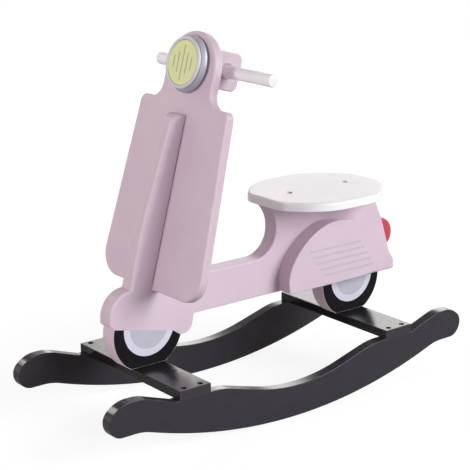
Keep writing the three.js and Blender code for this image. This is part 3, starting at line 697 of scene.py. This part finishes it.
blockScrews = {
    f"block_screw_{name}": leaning @ onSurface(
        0, 0, lampCentre + side * screwPlaces["blockSpacing"] / 2, (-1, 0, 0),
    )
    for name, side in (("lower", -1), ("upper", 1))
}


def drill(piece, *groups):
    holes = [screwHole(size, place) for screws, size in groups for place in screws.values()]
    combine(piece, joined(holes), "DIFFERENCE")


def addScrews(screws, size):
    template = screwTemplate(size)
    for node, place in screws.items():
        name = "".join(word.capitalize() for word in node.split("_"))
        screw = newObject(name[0].lower() + name[1:], template.data.copy())
        screw.data.transform(place)
        dress(screw, zincPlate, "screw_steel", node)
    bpy.data.objects.remove(template)


# Runners

runner = {
    "thickness": 18 * mm,
    "landMargin": 2.8 * mm,
    "landRun": 18.9 * mm,
    "landInnerRadius": 135 * mm,
    "landOuterRadius": 8 * mm,
    "middleHeight": 40.7 * mm,
    "middleRadius": 337 * mm,
    "rockRadius": 936 * mm,
    "soleInset": 77.5 * mm,
    "hornRunShare": 0.5175,
    "hornRadius": 70 * mm,
    "hornHeight": 53 * mm,
    "hornLift": 5.3 * mm,
    "noseRunShare": 0.1956,
    "noseDrop": 18 * mm,
    "noseTopRadius": 45 * mm,
    "noseRadius": 22 * mm,
    "noseBottomRadius": 25 * mm,
    "heelRadius": 95 * mm,
    "rimRadius": 0.8 * mm,
    "flushRimRadius": 0.12 * mm,  # where a cross-board's end is sanded flush with the face
}


def runnerItems():
    reach = highRunner.x
    rockReach = reach - runner["soleInset"]
    rockAngle = math.asin(rockReach / runner["rockRadius"])
    hornBottom = runner["rockRadius"] * (1 - math.cos(rockAngle)) + runner["hornLift"]
    hornTop = hornBottom + runner["hornHeight"]
    landOuter = highRearDeck.x + runner["landMargin"]
    landInner = -highDeck.x - runner["landRun"] - (rearX + frontX)
    span = reach - landOuter
    half = [
        (rockReach + runner["hornLift"] / math.tan(rockAngle), hornBottom, runner["heelRadius"]),
        (reach, hornBottom, runner["noseBottomRadius"]),
        (reach, hornTop - runner["noseDrop"], runner["noseRadius"]),
        (reach - runner["noseRunShare"] * span, hornTop, runner["noseTopRadius"]),
        (landOuter + runner["hornRunShare"] * span, hornTop, runner["hornRadius"]),
        (landOuter, landHeight, runner["landOuterRadius"]),
        (landInner, landHeight, runner["landInnerRadius"]),
    ]
    down = -math.pi / 2
    sole = (0, runner["rockRadius"], runner["rockRadius"], down - rockAngle, down + rockAngle)
    middle = (0, runner["middleHeight"], runner["middleRadius"])
    return [sole, *half, middle, *mirrored(half)]


def runnerRim(point):
    margin = 0.5 * mm
    nearDeck = min(abs(point.x - frontX), abs(point.x - rearX)) < deckHalfWidth + margin
    onLand = abs(point.z - landHeight) < margin
    return runner["flushRimRadius"] if nearDeck and onLand else runner["rimRadius"]


for hand, side in sides.items():
    piece = makeBoard(f"runner{hand}", runnerItems(), runner["thickness"], runnerRim)
    piece.data.transform(Matrix.Translation((0, side * (deckHalfLength - runner["thickness"] / 2), 0)))
    drill(piece, (deckScrews, deckScrew))
    dress(piece, runnerLacquer, "black_paint", f"runner_{hand.lower()}")
print("runners done")


# Cross-boards

deck = {"edgeRadius": 1 * mm, "endRimRadius": 0.12 * mm}

for end, x in ends.items():
    radius = deck["edgeRadius"]
    items = [
        (-deckHalfWidth, landHeight, radius), (deckHalfWidth, landHeight, radius),
        (deckHalfWidth, deckTop, radius), (-deckHalfWidth, deckTop, radius),
    ]
    piece = makeBoard(f"crossBoard{end}", items, 2 * deckHalfLength, deck["endRimRadius"], steps=2)
    piece.data.transform(Matrix.Translation((x, 0, 0)))
    drill(piece, (deckScrews, deckScrew), (standScrews, standScrew))
    dress(piece, deckLacquer, "black_paint", f"cross_board_{end.lower()}")
print("cross-boards done")


# Profile board: wheel lobes, fender, rib, floor and seat column in one piece

wheel = {"radius": 67 * mm, "flatDepth": 9.5 * mm}
axleHeight = wheel["radius"] - wheel["flatDepth"]
axleZ = deckTop + axleHeight

spine = {
    "floorAboveAxle": 9.5 * mm,
    "floorDepth": 65 * mm,
    "faceAhead": 177 * mm,
    "faceRise": 61.4 * mm,
    "faceRadius": 44 * mm,
    "throatRadius": 45 * mm,
    "topAhead": 192 * mm,
    "ribTopDepth": 24 * mm,
    "ribTopRadius": 17 * mm,
    "ribBackRadius": 2.8 * mm,
    "ribBackTaper": 14 * mm,
    "knee": 217 * mm,
    "kneeDepth": 39.5 * mm,
    "kneeRadius": 600 * mm,
}
floorBottom = axleZ + spine["floorAboveAxle"]
floorTop = floorBottom + spine["floorDepth"]

fender = {
    "noseRadius": 41 * mm,
    "overhang": 5.6 * mm,
    "noseAbove": 31 * mm,
    "throatRadius": 5 * mm,
    "tipAbove": 18.5 * mm,
    "tipRadius": 7 * mm,
    "lipFallShare": 0.214,
    "heelBelow": 20.5 * mm,
    "heelReach": 85.9 * mm,
    "heelTopReach": 90.9 * mm,
    "heelRadius": 17 * mm,
    "heelTopRadius": 5 * mm,
    "printAbove": 15 * mm,
    "printTurn": 46.8 * mm,
}

tail = {
    "bottomReach": 79 * mm,
    "topReach": 19.5 * mm,
    "reachShares": [0.01, 0.23, 0.59],
    "heightShares": [0.12, 0.25, 0.67],
    "radii": [22 * mm, 50 * mm, 150 * mm],
    "cornerRadius": 5 * mm,
}


def tailItems(cornerZ):
    bends = [
        (
            rearX + mix(tail["bottomReach"], tail["topReach"], tail["reachShares"][index]),
            mix(floorBottom, seatBottom, tail["heightShares"][index]),
            tail["radii"][index],
        )
        for index in range(3)
    ]
    corner = (rearX + tail["bottomReach"], cornerZ, tail["cornerRadius"])
    return [corner, *bends, (rearX + tail["topReach"], seatBottom, 0)]


lipTip = Vector((frontX - wheel["radius"] - fender["overhang"], axleZ + fender["tipAbove"]))


def spineItems():
    radius = wheel["radius"]
    flatAngle = math.asin(axleHeight / radius)
    heelAngle = math.asin(fender["heelBelow"] / radius)
    floorAngle = math.asin(spine["floorAboveAxle"] / radius)
    along = Vector((1, -fender["lipFallShare"])).normalized()
    offset = lipTip - Vector((frontX, axleZ))
    nearest = offset.dot(along)
    entry = offset - along * (nearest + math.sqrt(nearest ** 2 - offset.length_squared + radius ** 2))
    lipAngle = math.atan2(entry.y, entry.x)
    noseX, noseZ = lipTip.x + fender["noseRadius"], axleZ + fender["noseAbove"]
    slotFloor = shield["bottom"] - gap
    slotBack = -shield["thickness"] - gap
    faceX = rearX - spine["faceAhead"]
    return [
        (frontX, axleZ, radius, lipAngle, math.pi + flatAngle),
        (frontX, axleZ, radius, -flatAngle, -heelAngle),
        (frontX + fender["heelReach"], axleZ - fender["heelBelow"], fender["heelRadius"]),
        (frontX + fender["heelTopReach"], floorBottom, fender["heelTopRadius"]),
        (rearX, axleZ, radius, math.pi - floorAngle, math.pi + flatAngle),
        (rearX, axleZ, radius, -flatAngle, floorAngle),
        *tailItems(floorBottom),
        (rearX - spine["topAhead"], seatBottom, 0),
        (faceX, floorTop + spine["faceRise"], spine["throatRadius"]),
        (faceX, floorTop, spine["faceRadius"]),
        (*leaningHeight(slotBack, floorTop), 0),
        (*leaningPoint(slotBack, slotFloor), 0),
        (*leaningPoint(gap, slotFloor), 0),
        (*leaningPoint(gap, ribTop), 0),
        (*leaningPoint(spine["ribTopDepth"], ribTop), spine["ribTopRadius"]),
        (*leaningPoint(spine["kneeDepth"], spine["knee"]), spine["kneeRadius"]),
        (noseX, noseZ + fender["noseRadius"], fender["throatRadius"]),
        (noseX, noseZ, fender["noseRadius"], math.radians(99), math.pi),
        (lipTip.x, lipTip.y, fender["tipRadius"]),
    ]


# Sanding radii in mm at places (x, z) round the spine's outline, blended between them
spineRims = [
    (-284, 176, 0.9), (-288, 177, 1.6), (-291, 186, 3), (-288, 205, 4), (-262, 230, 4),  # fender
    (-246, 240, 5), (-238, 275, 8), (-225, 320, 9), (-203, 400, 9), (-175, 480, 9),  # rib
    (-165, 498, 7), (-143, 505, 2),
    (-284, 163, 0.9), (-278, 130, 0.9), (-245, 106, 0.9), (-190, 106, 0.9), (-158, 130, 0.9),  # front wheel
    (-135, 138, 2), (-128, 160, 2), (-60, 168.5, 2), (20, 168.5, 2), (80, 168.5, 1),  # floor's underside
    (152, 168.5, 0.9), (155, 159, 0.9), (162, 130, 0.9), (195, 106, 0.9), (250, 106, 0.9),  # rear wheel
    (283, 130, 0.9), (289, 160, 0.9),
    (300, 168.5, 0.5), (295, 190, 0.5), (265, 250, 0.5), (244, 315, 0.5),  # tail
    (31, 315, 2.5), (42, 280, 2.5), (50, 250, 2.5),  # seat column
    (10, 233.5, 2.5), (-60, 233.5, 2.5), (-140, 233.5, 2.5), (-185, 233.5, 2.5),  # floor's top
]
blendReach = 4  # mm squared, added to each distance so that no place takes over


def spineRim(point):
    inLeaning = leaning.inverted() @ Vector((point.x, 0, point.z))
    fromEnd = min(inLeaning.z - shield["bottom"], ribTop - inLeaning.z)
    if abs(inLeaning.x + gap) < 0.1 * mm and fromEnd > 0:
        return spine["ribBackRadius"] * min(1, fromEnd / spine["ribBackTaper"])
    beside = -2 * gap < inLeaning.x < shield["thickness"] + 2 * gap
    inSlot = beside and shield["bottom"] - mm < inLeaning.z < ribTop + mm
    underSeat = point.z > seatBottom - touch and point.x > 0
    if inSlot or underSeat or point.z < deckTop + touch:
        return 0
    total = weight = 0
    for x, z, radius in spineRims:
        distance = ((point.x - x * mm) ** 2 + (point.z - z * mm) ** 2) / (mm * mm)
        nearness = 1 / (distance + blendReach) ** 2
        total += nearness * radius * mm
        weight += nearness
    return total / weight


piece = makeBoard("spineBoard", spineItems(), 2 * boardFace, spineRim)
drill(piece, (standScrews, standScrew), (seatScrews, seatScrew), (shieldScrews, shieldScrew))
dress(piece, pinkEnamel, "pink_paint", "profile_board")
print("spine board done")


# Cowls: a board on each side of the seat column, with a recess that fades out to the rear

cowl = {
    "footBack": 3 * mm,
    "footRadius": 4 * mm,
    "springHeight": 20 * mm,
    "springHandle": 38 * mm,
    "crestAhead": 62 * mm,
    "crestHeight": 111 * mm,
    "crestHandle": 57 * mm,
    "crestFallShare": 0.12,
    "rampStart": 94 * mm,
    "rampEnd": 22 * mm,
    "rimRadius": 1.8 * mm,
    "tailRimRadius": 5 * mm,
    "innerRimRadius": 0.4 * mm,
    "tailRun": 19 * mm,
}
cowlThickness = cowlFace - boardFace
cowlFront = lowCowl.x


def cowlItems():
    spring = Vector((cowlFront, cowlBottom + cowl["springHeight"]))
    crest = Vector((rearX - cowl["crestAhead"], cowlBottom + cowl["crestHeight"]))
    springHandle = spring + Vector((0, cowl["springHandle"]))
    crestHandle = crest - Vector((cowl["crestHandle"], 0))
    curve = interpolate_bezier(crest, crestHandle, springHandle, spring, 28)
    endX = rearX - cowl["rampEnd"]
    fall = cowl["crestFallShare"] * (cowl["crestAhead"] - cowl["rampEnd"])
    return [
        (cowlFront + cowl["footBack"], cowlBottom, cowl["footRadius"]),
        *tailItems(cowlBottom),
        (endX, seatBottom, 0),
        (endX, crest.y - fall, 0),
        *[(point.x, point.y, 0) for point in curve],
    ]


# Height of the recess's floor over the spine board
def rampRise(share):
    share = min(max(share, 0), 1)
    return cowlThickness * share * share * (3 - 2 * share)


def rampShare(x):
    return (x - rearX + cowl["rampStart"]) / (cowl["rampStart"] - cowl["rampEnd"])


def cowlRim(point, side):
    if side * point.y < 0:
        return cowl["innerRimRadius"]
    onTop = point.z > seatBottom - touch
    aboveCrest = abs(point.x - rearX + cowl["rampEnd"]) < touch
    if onTop or aboveCrest:
        return 0
    ahead = point.x < rearX - cowl["rampEnd"] + mm
    overCrest = ahead and point.z > cowlBottom + cowl["springHeight"]
    step = cowlThickness - rampRise(rampShare(point.x)) if overCrest else cowlThickness
    atTail = min(1, max(0, (point.x - rearX) / cowl["tailRun"]))
    return min(mix(cowl["rimRadius"], cowl["tailRimRadius"], atTail), 0.5 * step)


# The recess's floor, a ramp that rises from the spine board to the cowl's face
def makeRamp(side):
    startX, endX = rearX - cowl["rampStart"], rearX - cowl["rampEnd"]
    inner, outer = side * (boardFace + touch), side * (cowlFace - touch / 2)
    shares = [step / 40 for step in range(1, 40)]
    slope = [(mix(startX, endX, share), side * (boardFace + rampRise(share)), 0) for share in shares]
    bottom, top = cowlBottom + cowl["springHeight"], seatBottom - touch
    mesh = makeSlab([
        (startX, inner, 0), *slope, (endX, outer, 0), (endX + 2 * mm, outer, 0), (endX + 2 * mm, inner, 0),
    ], top - bottom)
    return layDown(newPiece("ramp", mesh), (top + bottom) / 2)


for hand, side in sides.items():
    piece = makeBoard(f"cowl{hand}", cowlItems(), cowlThickness, lambda point: cowlRim(point, side))
    piece.data.transform(Matrix.Translation((0, side * (boardFace + cowlThickness / 2), 0)))
    combine(piece, makeRamp(side), "UNION")
    dress(piece, pinkEnamel, "pink_paint", f"cowl_{hand.lower()}")
print("cowls done")


# Stripes printed on the cowls; the ink creeps a little beyond the stencil

stripe = {"creep": 0.5 * mm, "endRadius": 1.2 * mm}

for hand in sides:
    for index in range(1, 6):
        node = f"stripe_{hand.lower()}_{index}"
        low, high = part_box(node)
        bottom, top = low.z - stripe["creep"], high.z + stripe["creep"]
        corners = [(low.x, bottom), (high.x, bottom), (high.x, top), (low.x, top)]
        mesh = makeSlab([(*corner, stripe["endRadius"]) for corner in corners], high.y - low.y)
        bmesh.ops.translate(mesh, verts=mesh.verts, vec=(0, (low.y + high.y) / 2, 0))
        dress(newPiece(f"stripe{hand}{index}", mesh), stripeInk, "stripe_print", node)


# Leg shield

def shieldItems():
    half = [
        (shield["bottomHalfWidth"], shield["bottom"], shield["cornerRadius"]),
        (shield["shoulderHalfWidth"], shoulderTop, shield["shoulderRadius"]),
        (shield["headRadius"], shoulderTop, shield["neckRadius"]),
    ]
    return [*half, (0, headCentre, shield["headRadius"], 0, math.pi), *mirrored(half)]


def shieldRim(point):
    if point.z > shield["bottom"] + mm:
        return shield["rimRadius"]
    clear = min(1, max(0, abs(point.x) / boardFace - 1))
    return mix(shield["slotRimRadius"], shield["rimRadius"], clear)


piece = makeBoard("legShield", shieldItems(), shield["thickness"], shieldRim)
piece.data.transform(leaning @ Matrix.Translation((shield["thickness"] / 2, 0, 0)) @ upright)
drill(piece, (shieldScrews, shieldScrew), (blockScrews, blockScrew))
dress(piece, leaningPinkEnamel, "pink_paint", "leg_shield")
print("leg shield done")


# Headlight, turned about an axis that points forward from the shield

lamp = {
    "bodyDepth": 14 * mm,
    "lensDepth": 2.6 * mm,
    "grooveDepth": 0.5 * mm,
    "grooveWidth": 2.7 * mm,
    "groovePitch": 10.5 * mm,
    "grooveHalves": [28 * mm, 16.5 * mm, 10 * mm],
    # radius and height over the shield in mm: a foot cut under, a bulged side and a neck
    "housing": [
        (0, 0.3), (40.6, 0.3), (40.6, 3.9), (43.8, 4), (44.6, 4.2), (45, 4.8), (45, 5.6), (44.8, 6.8),
        (44.3, 8.3), (43.5, 10), (42.5, 11.5), (41.6, 12.4), (40.6, 12.8), (39.8, 12.8), (39.6, 14), (0, 14),
    ],
    "rim": [
        (35.3, 14.3), (40.2, 14.3), (40.8, 14.6), (41, 15.2), (41, 15.8), (40.7, 16.7), (40, 17.3),
        (39, 17.6), (37.2, 17.6), (36.2, 17.4), (35.5, 16.9), (35.3, 16.2), (35.3, 14.3),
    ],
    "lens": [(0, 14.3), (35, 14.3), (35, 16.5), (34.85, 16.8), (34.5, 16.9), (0, 16.9)],
}
forward = Matrix.Rotation(-math.pi / 2, 4, "Y")
lampTurn = leaning @ Matrix.Translation((0, 0, lampCentre)) @ forward
lensFace = lamp["bodyDepth"] + gap + lamp["lensDepth"]
lensLook = {"colour": "#EAEFB4", "brushed": "#E3E8A8", "groove": "#C9C2AC"}  # yellow-green on grey-olive
lensFront = leanTurn.inverted() @ leaning @ Vector((-lensFace, 0, 0))
lensPaint = groovedEnamel("glossEnamelYellowGreen", lensLook, lensFront.x)

grooves = []
for index, length in enumerate(lamp["grooveHalves"]):
    for side in (-1, 1) if index else (0,):  # one in the middle, then pairs
        offset, radius = side * index * lamp["groovePitch"], lamp["grooveWidth"] / 2
        mesh = makeSlab([
            (length - radius, offset, radius, -math.pi / 2, math.pi / 2),
            (radius - length, offset, radius, math.pi / 2, 3 * math.pi / 2),
        ], 2 * lamp["grooveDepth"])
        grooves.append(layDown(newPiece("groove", mesh), lensFace))
for part, paint, slot in (
    ("housing", silverPaint, "silver_paint"), ("rim", silverWithPaintedHighlight, "silver_paint"),
    ("lens", lensPaint, "yellow_paint"),
):
    profile = [(radius * mm, height * mm) for radius, height in lamp[part]]
    piece = makeTurned(f"headlight{part.capitalize()}", profile, steps=96)
    if part == "lens":
        combine(piece, joined(grooves), "DIFFERENCE")
    piece.data.transform(lampTurn)
    dress(piece, paint, slot, f"headlight_{part}")
print("headlight done")


# Handlebar: a block behind the shield's head, with a dowel through it

block = {
    "size": 60 * mm, "cornerRadius": 12 * mm, "rimRadius": 2.5 * mm,
    "mouthWidth": 2.2 * mm, "mouthDepth": 3 * mm, "mouthBevel": 0.6 * mm,
}
dowel = {"radius": 10 * mm, "length": 282 * mm, "edge": 2 * mm, "setback": 32.7 * mm}

reach, cornerRadius = block["size"] / 2, block["cornerRadius"]
front = shield["thickness"] + gap
piece = makeBoard("handlebarBlock", [
    (front, lampCentre - reach, cornerRadius), (front + 2 * reach, lampCentre - reach, cornerRadius),
    (front + 2 * reach, lampCentre + reach, cornerRadius), (front, lampCentre + reach, cornerRadius),
], 2 * reach, block["rimRadius"])
lying = Matrix.Translation((shield["thickness"] + dowel["setback"], 0, lampCentre)) @ sideways
bore, bevel, shelf = dowel["radius"] + gap, block["mouthBevel"], reach - block["mouthDepth"]
mouth = bore + block["mouthWidth"]
boreHalf = [
    (bore, shelf), (mouth, shelf), (mouth, reach - bevel), (mouth + bevel, reach),
    (mouth + bevel, reach + mm), (0, reach + mm),
]
tool = makeTurned(
    "bore", [*[(radius, -height) for radius, height in reversed(boreHalf)], *boreHalf], steps=96,
)
tool.data.transform(lying)
combine(piece, tool, "DIFFERENCE")
piece.data.transform(leaning)
dress(piece, shadedPinkEnamel, "pink_paint", "handlebar_block")

end, edge, radius = dowel["length"] / 2, dowel["edge"], dowel["radius"]
roundedEnd = [
    (radius - edge * (1 - math.cos(turn)), end - edge * (1 - math.sin(turn)))
    for turn in (0, 0.5, 1, math.pi / 2)
]
piece = makeTurned("handlebarDowel", [
    (0, -end), *[(r, -height) for r, height in reversed(roundedEnd)], *roundedEnd, (0, end),
], steps=96)
piece.data.transform(leaning @ lying)
dress(piece, offWhiteEnamel, "white_dowel", "handlebar_dowel")
print("handlebar done")


# Seat

seat = {
    "lengthShares": [0, 0.23, 0.75, 1],
    "widthShares": [0.42, 1, 1, 0.39],
    "cornerRadii": [30 * mm, 110 * mm, 90 * mm, 45 * mm],
    "length": 239.5 * mm,
    "halfWidth": 98.5 * mm,
    "topRimRadius": 4 * mm,
    "bottomRimRadius": 1.5 * mm,
}
seatFront = rearX - spine["topAhead"] - mm
seatHalf = [
    (seatFront + along * seat["length"], across * seat["halfWidth"], radius)
    for along, across, radius in zip(seat["lengthShares"], seat["widthShares"], seat["cornerRadii"])
]
items = [*[(x, -y, radius) for x, y, radius in seatHalf], *reversed(seatHalf)]
piece = makeBoard(
    "seatBoard", items, seatTop - seatBottom,
    lambda point: seat["topRimRadius"] if point.y < 0 else seat["bottomRimRadius"],
)
layDown(piece, (seatTop + seatBottom) / 2)
drill(piece, (seatScrews, seatScrew))
dress(piece, whiteEnamel, "white_seat", "seat_board")
print("seat done")


# Tail light: a disc let into the tail's edge

light = {"radius": 28.5 * mm, "centreBehind": 12 * mm, "waistRise": 19.5 * mm, "rimRadius": 4.5 * mm}

waist, rump = [Vector((item[0], item[1])) for item in tailItems(floorBottom)[2:4]]
along = (rump - waist).normalized()
outward = Vector((along.y, -along.x))
centre = waist + along * light["waistRise"] + outward * light["centreBehind"]
piece = makeBoard("tailLight", [
    (centre.x, centre.y, light["radius"], start, start + math.pi) for start in (0, math.pi)
], 2 * boardFace, light["rimRadius"])
mesh = makeSlab(spineItems(), 3 * boardFace)
bmesh.ops.translate(mesh, verts=mesh.verts, vec=(gap * outward.x, 0, gap * outward.y))
combine(piece, newPiece("tailShape", mesh), "DIFFERENCE")
dress(piece, redEnamel, "red_paint", "tail_light")
print("tail light done")


# Prints: tyre, rim and hub on both faces of each wheel

prints = {
    "thickness": 0.3 * mm,
    "tyreInset": 1 * mm,
    "rimShare": 0.727,
    "hubShare": 0.552,
    "centreAboveShare": 0.104,
    "centreBackShare": 0.022,
}


def makePrint(name, side, outer, inner, cuts):
    mesh = bmesh.new()
    for x, z, radius in [outer, inner] if inner else [outer]:
        turn = Matrix.Translation((x, side * boardFace, z)) @ Matrix.Rotation(math.pi / 2, 4, "X")
        bmesh.ops.create_circle(mesh, cap_ends=not inner, radius=radius, segments=144, matrix=turn)
    if inner:
        bmesh.ops.bridge_loops(mesh, edges=mesh.edges[:])
    for x, z, normalX, normalZ in cuts:
        everything = mesh.verts[:] + mesh.edges[:] + mesh.faces[:]
        bmesh.ops.bisect_plane(
            mesh, geom=everything, plane_co=(x, 0, z), plane_no=(normalX, 0, normalZ), clear_outer=True,
        )
    grow(mesh, side * prints["thickness"])
    return newPiece(name, mesh)


radius, fall, heelBelow = wheel["radius"], fender["lipFallShare"], fender["heelBelow"]
lipX, lipZ = frontX - radius, axleZ + fender["printAbove"]
turnX, turnZ = frontX + fender["printTurn"], lipZ - fall * (radius + fender["printTurn"])
heelX, heelZ = frontX + math.sqrt(radius ** 2 - heelBelow ** 2), axleZ - heelBelow
footCut = (0, deckTop + gap, 0, -1)  # a point and the way out of the window
windows = {
    "Front": [footCut, (lipX, lipZ, fall, 1), (turnX, turnZ, turnZ - heelZ, heelX - turnX)],
    "Rear": [footCut, (0, cowlBottom - gap, 0, 1)],
}
for end, x in ends.items():
    rimX = x + prints["centreBackShare"] * radius
    rimZ = axleZ + prints["centreAboveShare"] * radius
    tyreCircle = (x, axleZ, radius - prints["tyreInset"])
    rimCircle = (rimX, rimZ, prints["rimShare"] * radius)
    hubCircle = (rimX, rimZ, prints["hubShare"] * radius)
    rings = [
        ("tyre", tyreCircle, rimCircle, tyreInk),
        ("rim", rimCircle, hubCircle, rimInk),
        ("hub", hubCircle, None, hubInk),
    ]
    for hand, side in sides.items():
        for part, outer, inner, ink in rings:
            piece = makePrint(f"{part}Print{end}{hand}", side, outer, inner, windows[end])
            dress(piece, ink, f"{part}_print", f"{part}_print_{end.lower()}_{hand.lower()}")
print("prints done")


# Screws

for screws, size in (
    (deckScrews, deckScrew), (standScrews, standScrew), (seatScrews, seatScrew),
    (shieldScrews, shieldScrew), (blockScrews, blockScrew),
):
    addScrews(screws, size)
print("screws done")


# Floor, light and camera

floorPaper = newMaterial("seamlessPaper")  # matt white, whiter to the camera than to the object
toCamera = addNode(floorPaper, "LightPath").outputs["Is Camera Ray"]
tone = addNode(floorPaper, "Mix", {
    "data_type": "RGBA", mixFactor: toCamera, mixA: linear("#D2D0D1"), mixB: linear("#8C8C8C"),
})
paper = addNode(floorPaper, "BsdfDiffuse", {"Color": tone.outputs[mixResult]})
glow = addNode(floorPaper, "Emission", {"Color": linear("#ECECEC"), "Strength": toCamera})
lit = addNode(floorPaper, "AddShader", {0: paper, 1: glow})
addNode(floorPaper, "OutputMaterial", {"Surface": lit})
mesh = bmesh.new()
bmesh.ops.create_grid(mesh, x_segments=1, y_segments=1, size=30)
ground = newPiece("ground", mesh)
ground.data.materials.append(floorPaper)

studio = {
    "ambient": 0.4, "ambientColour": (1, 0.96, 0.972),
    "wallTop": 0.35, "ceilingStart": 0.6, "ceilingShare": 0.3,  # what glossy paint mirrors above
    "aim": (0, 0, 0.2),
    # place, strength, softness in degrees and colour
    "key": ((0.72, -1.35, 0.85), 2.7, 38, (0.97, 0.985, 1)),
    "fill": ((-2.0, -0.1, 0.8), 1.27, 25, (1, 0.955, 0.95)),
    # place, size, power and colour
    "panel1": ((2.3, 2.2, 0.95), (2.0, 1.1), 16.5, (1, 0.98, 0.96)),
    "panel2": ((-0.9, 2.35, 2.0), (0.6, 0.6), 9, (1, 0.9, 0.8)),
}
world = bpy.data.worlds.new("studio")
bpy.context.scene.world = world
world.use_nodes = True
world.node_tree.nodes.clear()
path = addNode(world, "LightPath")
coordinates = addNode(world, "TexCoord")
direction = addNode(world, "SeparateXYZ", {0: coordinates.outputs["Generated"]})
ceiling = addNode(world, "MapRange", {
    0: direction.outputs["Z"], 1: studio["wallTop"], 2: studio["ceilingStart"],
    3: 1, 4: studio["ceilingShare"],
})
seen = addNode(world, "Math", {
    "operation": "MAXIMUM", 0: path.outputs["Is Glossy Ray"], 1: path.outputs["Is Transmission Ray"],
})
strength = addNode(world, "MapRange", {0: seen, 3: studio["ambient"], 4: 1})
shaded = addNode(world, "Math", {"operation": "MULTIPLY", 0: strength, 1: ceiling})
room = addNode(world, "Background", {"Color": (*studio["ambientColour"], 1), "Strength": shaded})
white = addNode(world, "Background", {"Color": (1, 1, 1, 1), "Strength": 1})
sky = addNode(world, "MixShader", {0: path.outputs["Is Camera Ray"], 1: room, 2: white})
addNode(world, "OutputWorld", {"Surface": sky})


def addLight(name, kind, place, settings):
    data = bpy.data.lights.new(name, kind)
    for key, value in settings.items():
        setattr(data, key, value)
    towards = Vector(studio["aim"]) - Vector(place)
    turn = towards.to_track_quat("-Z", "Y").to_matrix().to_4x4()
    newObject(name, data).matrix_world = Matrix.Translation(place) @ turn


for name in ("key", "fill"):
    place, power, softness, colour = studio[name]
    addLight(name, "SUN", place, {"energy": power, "angle": math.radians(softness), "color": colour})
for name in ("panel1", "panel2"):
    place, (width, height), power, colour = studio[name]
    addLight(name, "AREA", place, {
        "energy": power, "shape": "RECTANGLE", "size": width, "size_y": height, "color": colour,
    })

view = {
    "place": (-1.472035, -1.745437, 0.922428), "lens": 110.085,
    "turns": [(-39.5431, "Z"), (74.1398, "X"), (0.4346, "Z")],  # pan, tilt and roll
}
cameraData = bpy.data.cameras.new("camera")
cameraData.sensor_width = 36
cameraData.lens = view["lens"]
camera = newObject("camera", cameraData)
pan, tilt, roll = [Matrix.Rotation(math.radians(angle), 4, axis) for angle, axis in view["turns"]]
camera.matrix_world = Matrix.Translation(view["place"]) @ pan @ tilt @ roll
bpy.context.scene.camera = camera
bpy.context.scene.view_settings.view_transform = "Standard"

bpy.context.view_layer.update()
print("scene done")
